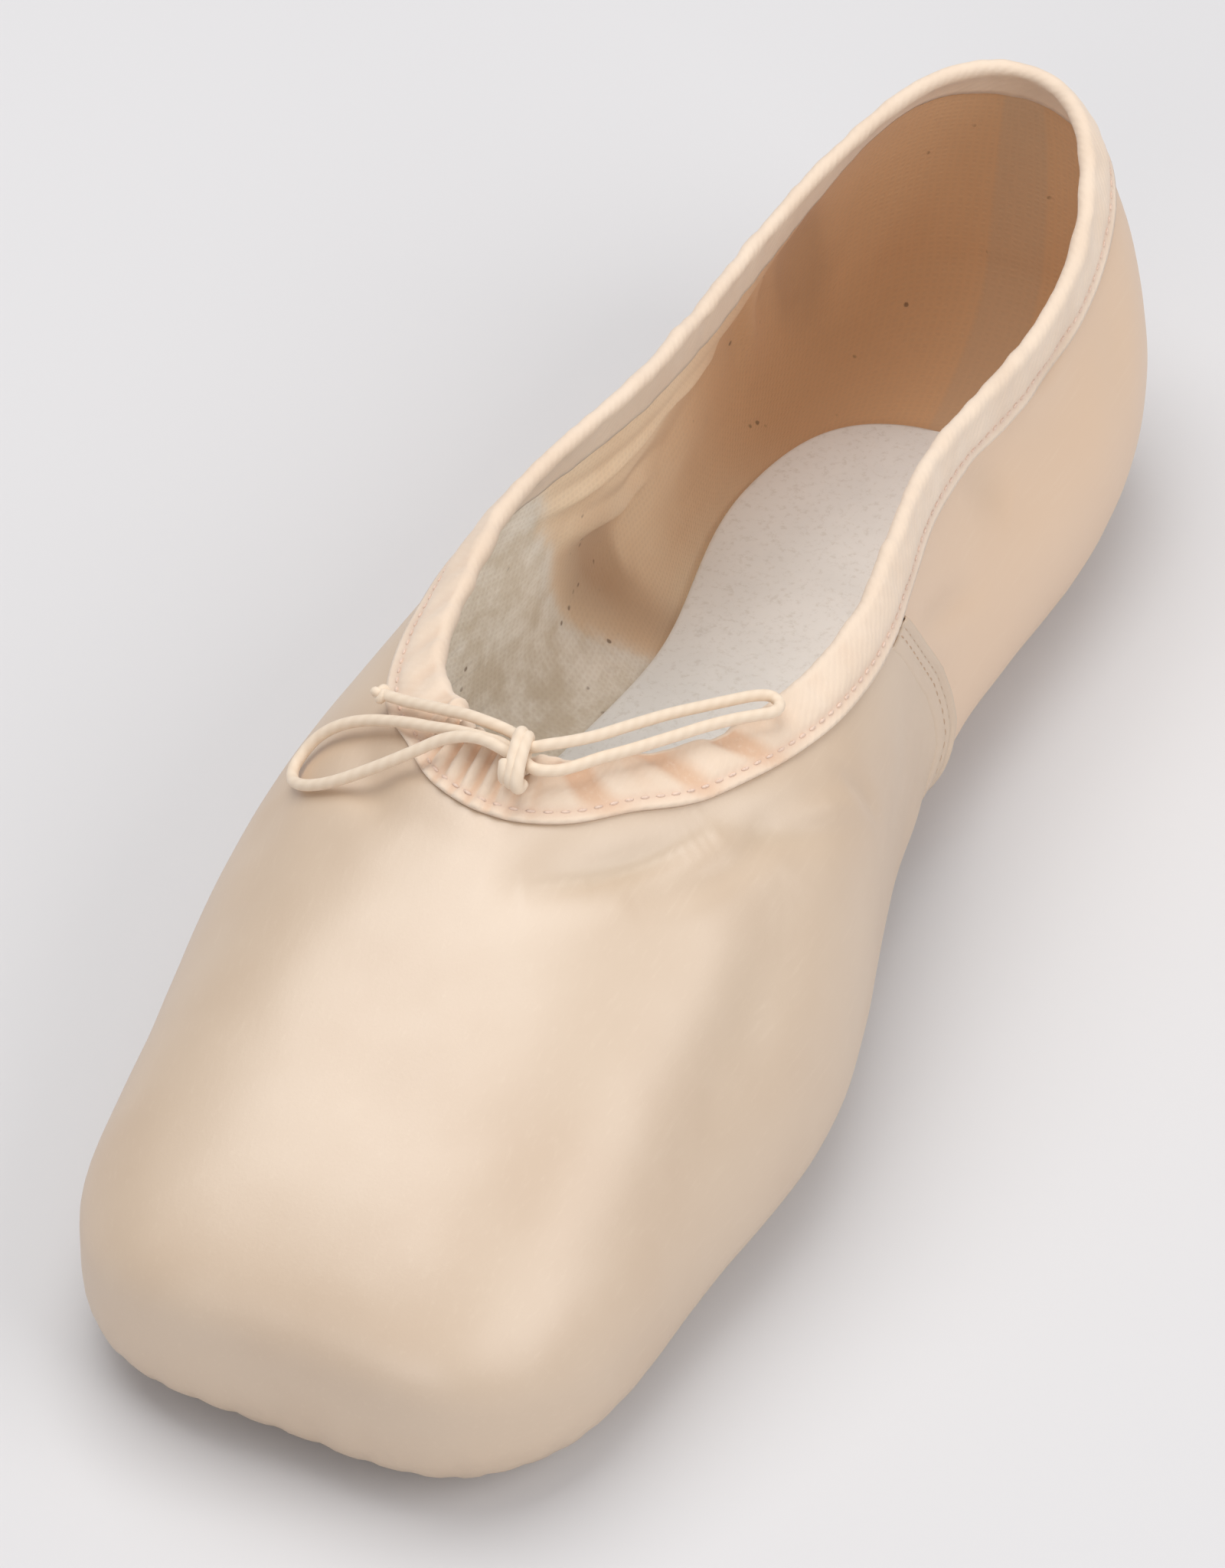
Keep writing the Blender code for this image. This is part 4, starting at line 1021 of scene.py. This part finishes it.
# %% A socket that can be added and multiplied
class Value:
    def __init__(self, finish, socket):
        self.finish, self.socket = finish, socket

    def maths(self, operation, *others):
        return self.finish.node("ShaderNodeMath", self, *others, operation=operation)

    def __add__(self, other):
        return self.maths("ADD", other)

    def __mul__(self, other):
        return self.maths("MULTIPLY", other)

    def __sub__(self, other):
        return self.maths("SUBTRACT", other)

    def __rsub__(self, other):
        return self.finish.node("ShaderNodeMath", other, self, operation="SUBTRACT")

    def __pow__(self, other):
        return self.maths("POWER", other)

    __radd__, __rmul__ = __add__, __mul__

    def step(self, low, high):
        """0 below low, 1 above high, and smooth between."""
        return self.finish.node("ShaderNodeMapRange", {"Value": self, "From Min": low,
                                                       "From Max": high},
                                interpolation_type="SMOOTHSTEP")


class Finish:
    """One material, built round its Principled shader."""

    def __init__(self, name, **constants):
        self.material = bpy.data.materials.new(name)
        self.material.use_nodes = True
        self.tree = self.material.node_tree
        self.shader = self.tree.nodes["Principled BSDF"]
        self.x = -200
        for socket, value in constants.items():
            self.shader.inputs[socket.replace("_", " ")].default_value = value

    def node(self, kind, *inputs, output=0, **settings):
        node = self.tree.nodes.new(kind)
        self.x -= 40
        node.location = (self.x, (len(self.tree.nodes) % 7) * -160)
        for key, value in settings.items():
            if key == "stops":
                while len(node.color_ramp.elements) < len(value):
                    node.color_ramp.elements.new(1.0)
                for element, (place, colour) in zip(node.color_ramp.elements, value):
                    element.position, element.color = place, (*colour, 1)
            else:
                setattr(node, key, value)
        named = inputs[0] if inputs and isinstance(inputs[0], dict) else dict(enumerate(inputs))
        for key, value in named.items():
            socket = node.inputs[key]
            if isinstance(value, Value):
                self.tree.links.new(value.socket, socket)
            elif isinstance(value, tuple) and len(value) == 3 and socket.type == "RGBA":
                socket.default_value = (*value, 1)
            else:
                socket.default_value = value
        return Value(self, node.outputs[output])

    def place(self, scale=(1, 1, 1), turn=(0, 0, 0)):
        """Object coordinates in metres, stretched and turned."""
        spot = self.node("ShaderNodeTexCoord", output="Object")
        return self.node("ShaderNodeMapping", {"Vector": spot, "Scale": scale, "Rotation": turn})

    def thread(self, scale=(1, 1, 1)):
        """The cloth's own directions, in metres."""
        spot = self.node("ShaderNodeUVMap", uv_map="cloth")
        return self.node("ShaderNodeMapping", {"Vector": spot, "Scale": scale})

    def mask(self, name):
        return self.node("ShaderNodeAttribute", output="Fac", attribute_name=name)

    def noise(self, spot, scale, detail=3.0, rough=0.55):
        return self.node("ShaderNodeTexNoise", {"Vector": spot, "Scale": scale, "Detail": detail,
                                                "Roughness": rough})

    def mix(self, a, b, share):
        """Two colours, or two pictures of colour, by a share from 0 to 1."""
        return self.node("ShaderNodeMix", {0: share, 6: a, 7: b}, output=2, data_type="RGBA")

    def bump(self, height, distance, strength=1.0, under=None):
        inputs = {"Height": height, "Distance": distance, "Strength": strength}
        if under is not None:
            inputs["Normal"] = under
        return self.node("ShaderNodeBump", inputs)

    def wear(self, colour=None, roughness=None, normal=None):
        for key, value in (("Base Color", colour), ("Roughness", roughness), ("Normal", normal)):
            if value is not None:
                self.tree.links.new(value.socket, self.shader.inputs[key])
        print("material", self.material.name, len(self.tree.nodes), "nodes")
        return self.material


def dress(piece, *materials):
    """Gives a piece its materials, and keeps which face has which."""
    while len(piece.data.materials) < len(materials):
        piece.data.materials.append(None)
    for k, material in enumerate(materials):
        piece.data.materials[k] = material


# %% [markdown]
# ## Satin
# Satin's long threads lie side by side and throw light back in a broad band. It is neither a mirror
# nor chalk: a middling roughness and a strong white gloss under a thin, smoother coat, with the
# finest grain along the shoe. The quarters are cut from a slightly warmer piece. All of it has
# painted shade, a darker brown, in its creases, and is a touch dirty where it meets the sole.

# %% Satin, three warmths of it
def satin(name, pale, deep, warm, warm_mask=None):
    f = Finish(name, IOR=1.75, Specular_IOR_Level=1.0, Coat_Weight=0.3, Coat_Roughness=0.34,
               Coat_IOR=1.5)
    cloud = f.noise(f.place(), 38.0, 3.0)
    colour = f.mix(pale, deep, cloud.step(0.3, 0.75))
    if warm_mask is not None:
        colour = f.mix(colour, warm, f.mask(warm_mask) * 0.8)
        # painted shade: the creases are darkened to brown in the satin's colour
        colour = f.mix(colour, (0.42, 0.31, 0.19), f.mask("crease") * 0.36)
        dust = f.mask("low") * f.noise(f.place(), 240.0, 4.0).step(0.42, 0.8)
        colour = f.mix(colour, (0.40, 0.29, 0.21), dust * 0.35)
    long_thread = f.noise(f.place((60, 1500, 1500)), 1.0, 3.0, 0.6)
    grain = f.noise(f.place(), 2400.0, 2.0, 0.6)
    colour = f.mix(colour, (0.86, 0.72, 0.56), long_thread.step(0.5, 0.9) * 0.14)
    rough = 0.42 + 0.10 * f.noise(f.place(), 90.0, 3.0) + 0.05 * long_thread
    normal = f.bump(long_thread * 0.6 + grain * 0.4, 0.00006, 0.45)
    return f.wear(colour, rough, normal)


PALE, DEEP, WARM = (0.640, 0.487, 0.345), (0.600, 0.440, 0.300), (0.760, 0.530, 0.350)
upper_satin = satin("satin_over_the_box", PALE, DEEP, WARM, "quarter")
seam_satin = satin("satin_at_the_seams", PALE, DEEP, WARM)
strip_satin = satin("satin_of_the_strip", WARM, (0.68, 0.48, 0.33), WARM)

# %% [markdown]
# ## Canvas lining
# The lining is a plain weave of unbleached cotton, with brown flecks of seed husk in it. In the box
# it is soaked with paste, which dries grey-white in patches, so a mask that was laid on the mesh
# carries the colour from tan to chalk across a slanting edge. Behind that edge the paste has left a
# damp brown patch. Other masks paint shade: darker brown in the creases, darker orange at the heel.

# %% Canvas
def plain_weave(f, pitch):
    """Threads over and under: two crossed waves, each strong where the other is weak."""
    across = f.node("ShaderNodeTexWave", {"Vector": f.thread(), "Scale": 1 / pitch / 2 / math.pi,
                                          "Distortion": 0.6, "Detail": 1.0}, bands_direction="X")
    down = f.node("ShaderNodeTexWave", {"Vector": f.thread(), "Scale": 1 / pitch / 2 / math.pi,
                                        "Distortion": 0.6, "Detail": 1.0}, bands_direction="Y")
    return across.maths("MAXIMUM", down)


def canvas():
    f = Finish("canvas_lining", Specular_IOR_Level=0.2, Sheen_Weight=0.15, Sheen_Roughness=0.6)
    cloud = f.noise(f.place(), 45.0, 4.0)
    tan = f.mix((0.88, 0.66, 0.45), (0.94, 0.75, 0.54), cloud.step(0.3, 0.7))
    # painted shade: the lining inside the heel is painted a darker orange
    tan = f.mix((0.70, 0.44, 0.25), tan, f.mask("forward"))
    tan = f.mix(tan, (0.34, 0.20, 0.12), f.mask("damp") * (0.20 + 0.50 * cloud))
    paste = f.noise(f.place(), 150.0, 5.0, 0.65)
    chalk = f.mix((0.74, 0.65, 0.52), (0.96, 0.90, 0.80), paste.step(0.35, 0.68))
    smear = f.noise(f.place((120, 120, 600)), 1.0, 4.0)
    chalk = f.mix(chalk, (0.42, 0.36, 0.30), smear.step(0.60, 0.85) * 0.4)
    # painted shade: the lining's creases are darkened to brown in its colour
    tan = f.mix(tan, (0.50, 0.31, 0.18), f.mask("crease") * 0.6)
    colour = f.mix(tan, chalk, f.mask("stiff"))
    colour = f.mix(colour, (0.88, 0.84, 0.77), f.mask("paste_edge") * paste.step(0.3, 0.6) * 0.6)
    colour = f.mix(colour, (0.52, 0.40, 0.29), f.mask("tape") * 0.35)
    hair = f.noise(f.place(), 1800.0, 3.0)
    fleck = f.node("ShaderNodeTexVoronoi", {"Vector": f.place(), "Scale": 330.0,
                                            "Randomness": 1.0}, feature="F1")
    rare = f.noise(f.place(), 170.0, 2.0).step(0.55, 0.62)
    speck = (1 - (fleck + 0.12 * hair).step(0.13, 0.22)) * rare
    colour = f.mix(colour, (0.17, 0.10, 0.06), speck * 0.75)
    weave = plain_weave(f, 0.00045)
    colour = f.mix(colour, (0.50, 0.35, 0.24), (1 - weave) * 0.14)
    normal = f.bump(weave * 0.7 + hair * 0.5, 0.00012, 0.5)
    return f.wear(colour, 0.82 + 0.1 * hair, normal)


lining_canvas = canvas()
dress(upper, upper_satin, lining_canvas)
for name in ("side_seam_left", "side_seam_right"):
    dress(bpy.data.objects[name], seam_satin)
dress(heel_strip, strip_satin)

# %% [markdown]
# ## Cotton, elastic, thread
# The casing is a soft bias-cut cotton, pinker than the satin and quite matt. The elastic has a
# braided cover, seen as fine slanting ribs. The thread is cotton too.

# %% Cotton for the casing
def cotton():
    f = Finish("casing_cotton", Specular_IOR_Level=0.25, Sheen_Weight=0.3, Sheen_Roughness=0.5)
    cloud = f.noise(f.place(), 70.0, 4.0)
    colour = f.mix((0.780, 0.620, 0.480), (0.840, 0.690, 0.550), cloud.step(0.3, 0.7))
    # painted shade: the gathers' valleys are darkened to orange-brown
    colour = f.mix(colour, (0.70, 0.44, 0.28), f.mask("valley") * 0.75)
    # painted shade: the stitched groove is darkened to a warm brown
    colour = f.mix(colour, (0.70, 0.47, 0.35), f.mask("stitched") * 0.40)
    weave = f.node("ShaderNodeTexWave", {"Vector": f.thread((1, 1, 1)), "Scale": 420.0,
                                         "Distortion": 2.0, "Detail": 2.0},
                   bands_direction="DIAGONAL")
    hair = f.noise(f.place(), 1500.0, 4.0)
    colour = f.mix(colour, (0.86, 0.71, 0.59), hair.step(0.5, 0.8) * 0.3)
    return f.wear(colour, 0.8 + 0.12 * hair, f.bump(weave * 0.5 + hair * 0.8, 0.00010, 0.5))


casing_cotton = cotton()
dress(casing, casing_cotton)


# %% Elastic, and the threads
def elastic():
    f = Finish("elastic_braid", Specular_IOR_Level=0.35, Sheen_Weight=0.2, Sheen_Roughness=0.5)
    ribs = f.node("ShaderNodeTexWave", {"Vector": f.thread((1, 0.8, 1)), "Scale": 330.0,
                                        "Distortion": 0.4}, bands_direction="DIAGONAL")
    hair = f.noise(f.place(), 1400.0, 3.0)
    colour = f.mix((0.790, 0.640, 0.490), (0.860, 0.720, 0.570), ribs * 0.5 + hair * 0.5)
    return f.wear(colour, 0.62 + 0.15 * hair, f.bump(ribs * 0.4 + hair * 0.4, 0.00005, 0.3))


def sewing_thread(name, colour):
    f = Finish(name, Specular_IOR_Level=0.4, Sheen_Weight=0.2)
    twist = f.noise(f.place(), 3000.0, 2.0)
    shade = f.mix(tuple(0.82 * c for c in colour), colour, twist.step(0.3, 0.7))
    return f.wear(shade, 0.55 + 0.2 * twist, f.bump(twist, 0.00004, 0.4))


braid = elastic()
for piece in (drawstring, knot, end_knot):
    dress(piece, braid)
cotton_thread = sewing_thread("thread_of_the_casing", (0.84, 0.64, 0.52))
satin_thread = sewing_thread("thread_of_the_seams", (0.56, 0.38, 0.25))
for slot_name, piece in stitches.values():
    dress(piece, cotton_thread if slot_name == "binding_cotton" else satin_thread)

# %% [markdown]
# ## Leather and the sock
# The sole is split leather: brown, with a fine grain, rubbed paler and rougher where the heel has
# touched the ground, and pale along its cut edge. The sock is pressed board with a papery face,
# grey-white with short fibres.

# %% Sole leather
def leather():
    f = Finish("sole_leather_brown", Specular_IOR_Level=0.4)
    broad = f.noise(f.place(), 55.0, 4.0)
    grain = f.noise(f.place(), 1300.0, 4.0, 0.65)
    colour = f.mix((0.245, 0.115, 0.065), (0.335, 0.170, 0.105), broad.step(0.3, 0.7))
    colour = f.mix(colour, (0.14, 0.07, 0.045), (1 - grain.step(0.3, 0.6)) * 0.45)
    spot = f.node("ShaderNodeSeparateXYZ", f.node("ShaderNodeTexCoord", output="Object"))
    scuff = f.noise(f.place((90, 420, 90)), 1.0, 5.0, 0.7).step(0.52, 0.75)
    at_heel = 1 - spot.step(SOLE_START - CENTRE_X + 0.004, SOLE_START - CENTRE_X + 0.030)
    colour = f.mix(colour, (0.50, 0.33, 0.23), scuff * (at_heel * 0.7 + 0.15))
    facing = f.node("ShaderNodeSeparateXYZ", f.node("ShaderNodeNewGeometry", output="Normal"),
                    output="Z")
    cut_edge = 1 - facing.maths("ABSOLUTE").step(0.35, 0.8)
    colour = f.mix(colour, (0.52, 0.36, 0.25), cut_edge * 0.7)
    pores = f.node("ShaderNodeTexVoronoi", {"Vector": f.place(), "Scale": 1500.0})
    rough = 0.55 + 0.2 * grain + 0.12 * scuff
    return f.wear(colour, rough, f.bump(grain * 0.7 + pores * 0.3, 0.00010, 0.5))


def board():
    f = Finish("sock_board_grey", Specular_IOR_Level=0.2)
    cloud = f.noise(f.place(), 60.0, 3.0)
    fibre = f.noise(f.place((500, 900, 500)), 1.0, 5.0, 0.7)
    speck = f.noise(f.place(), 900.0, 4.0, 0.7)
    colour = f.mix((0.830, 0.825, 0.805), (0.890, 0.885, 0.865), cloud.step(0.3, 0.7))
    colour = f.mix(colour, (0.66, 0.63, 0.58), (1 - speck.step(0.30, 0.5)) * 0.45)
    colour = f.mix(colour, (0.86, 0.84, 0.80), fibre.step(0.55, 0.8) * 0.35)
    return f.wear(colour, 0.78 + 0.12 * speck, f.bump(speck * 0.6 + fibre * 0.4, 0.00012, 0.5))


dress(outsole, leather())
dress(sock, board())

# %% [markdown]
# ## Floor and light
# A wide pale floor and big soft lights, as in a product studio. The largest hangs above and to the
# left of the toe, and a weaker one on the right keeps the quarter from going dark.

# %% Floor, world and lights
bpy.ops.mesh.primitive_plane_add(size=6, location=(0, 0, -0.0002))
floor = bpy.context.object
floor.name = "studio_floor"
f = Finish("floor_paper", Specular_IOR_Level=0.1, Roughness=0.9)
tone = f.mix((0.700, 0.697, 0.710), (0.710, 0.707, 0.720), f.noise(f.place(), 3.0, 2.0))
dress(floor, f.wear(tone))

world = bpy.data.worlds.new("studio")
bpy.context.scene.world = world
world.use_nodes = True
world.node_tree.nodes["Background"].inputs["Color"].default_value = (0.97, 0.97, 1.0, 1)
world.node_tree.nodes["Background"].inputs["Strength"].default_value = 0.42


def soft_light(name, place, target, size, watts, colour=(1, 1, 1)):
    bpy.ops.object.light_add(type="AREA", location=place)
    lamp = bpy.context.object
    lamp.name = name
    lamp.data.shape = "RECTANGLE"
    lamp.data.size, lamp.data.size_y = size
    lamp.data.energy = watts
    lamp.data.color = colour
    aim = Vector(target) - Vector(place)
    lamp.rotation_euler = aim.to_track_quat("-Z", "Y").to_euler()
    return lamp


soft_light("key_softbox", (-0.10, -0.26, 1.00), (0.03, 0, 0.02), (0.9, 0.9), 6.9,
           (1.0, 0.99, 0.97))
soft_light("front_fill", (1.3, 0.1, 0.65), (0.05, 0, 0.02), (0.8, 0.6), 3.0, (1.0, 0.98, 0.96))
soft_light("right_fill", (0.1, 1.0, 0.8), (0, 0, 0.02), (1.0, 0.8), 6.0, (1.0, 0.97, 0.94))
bpy.context.scene.view_settings.view_transform = "Standard"
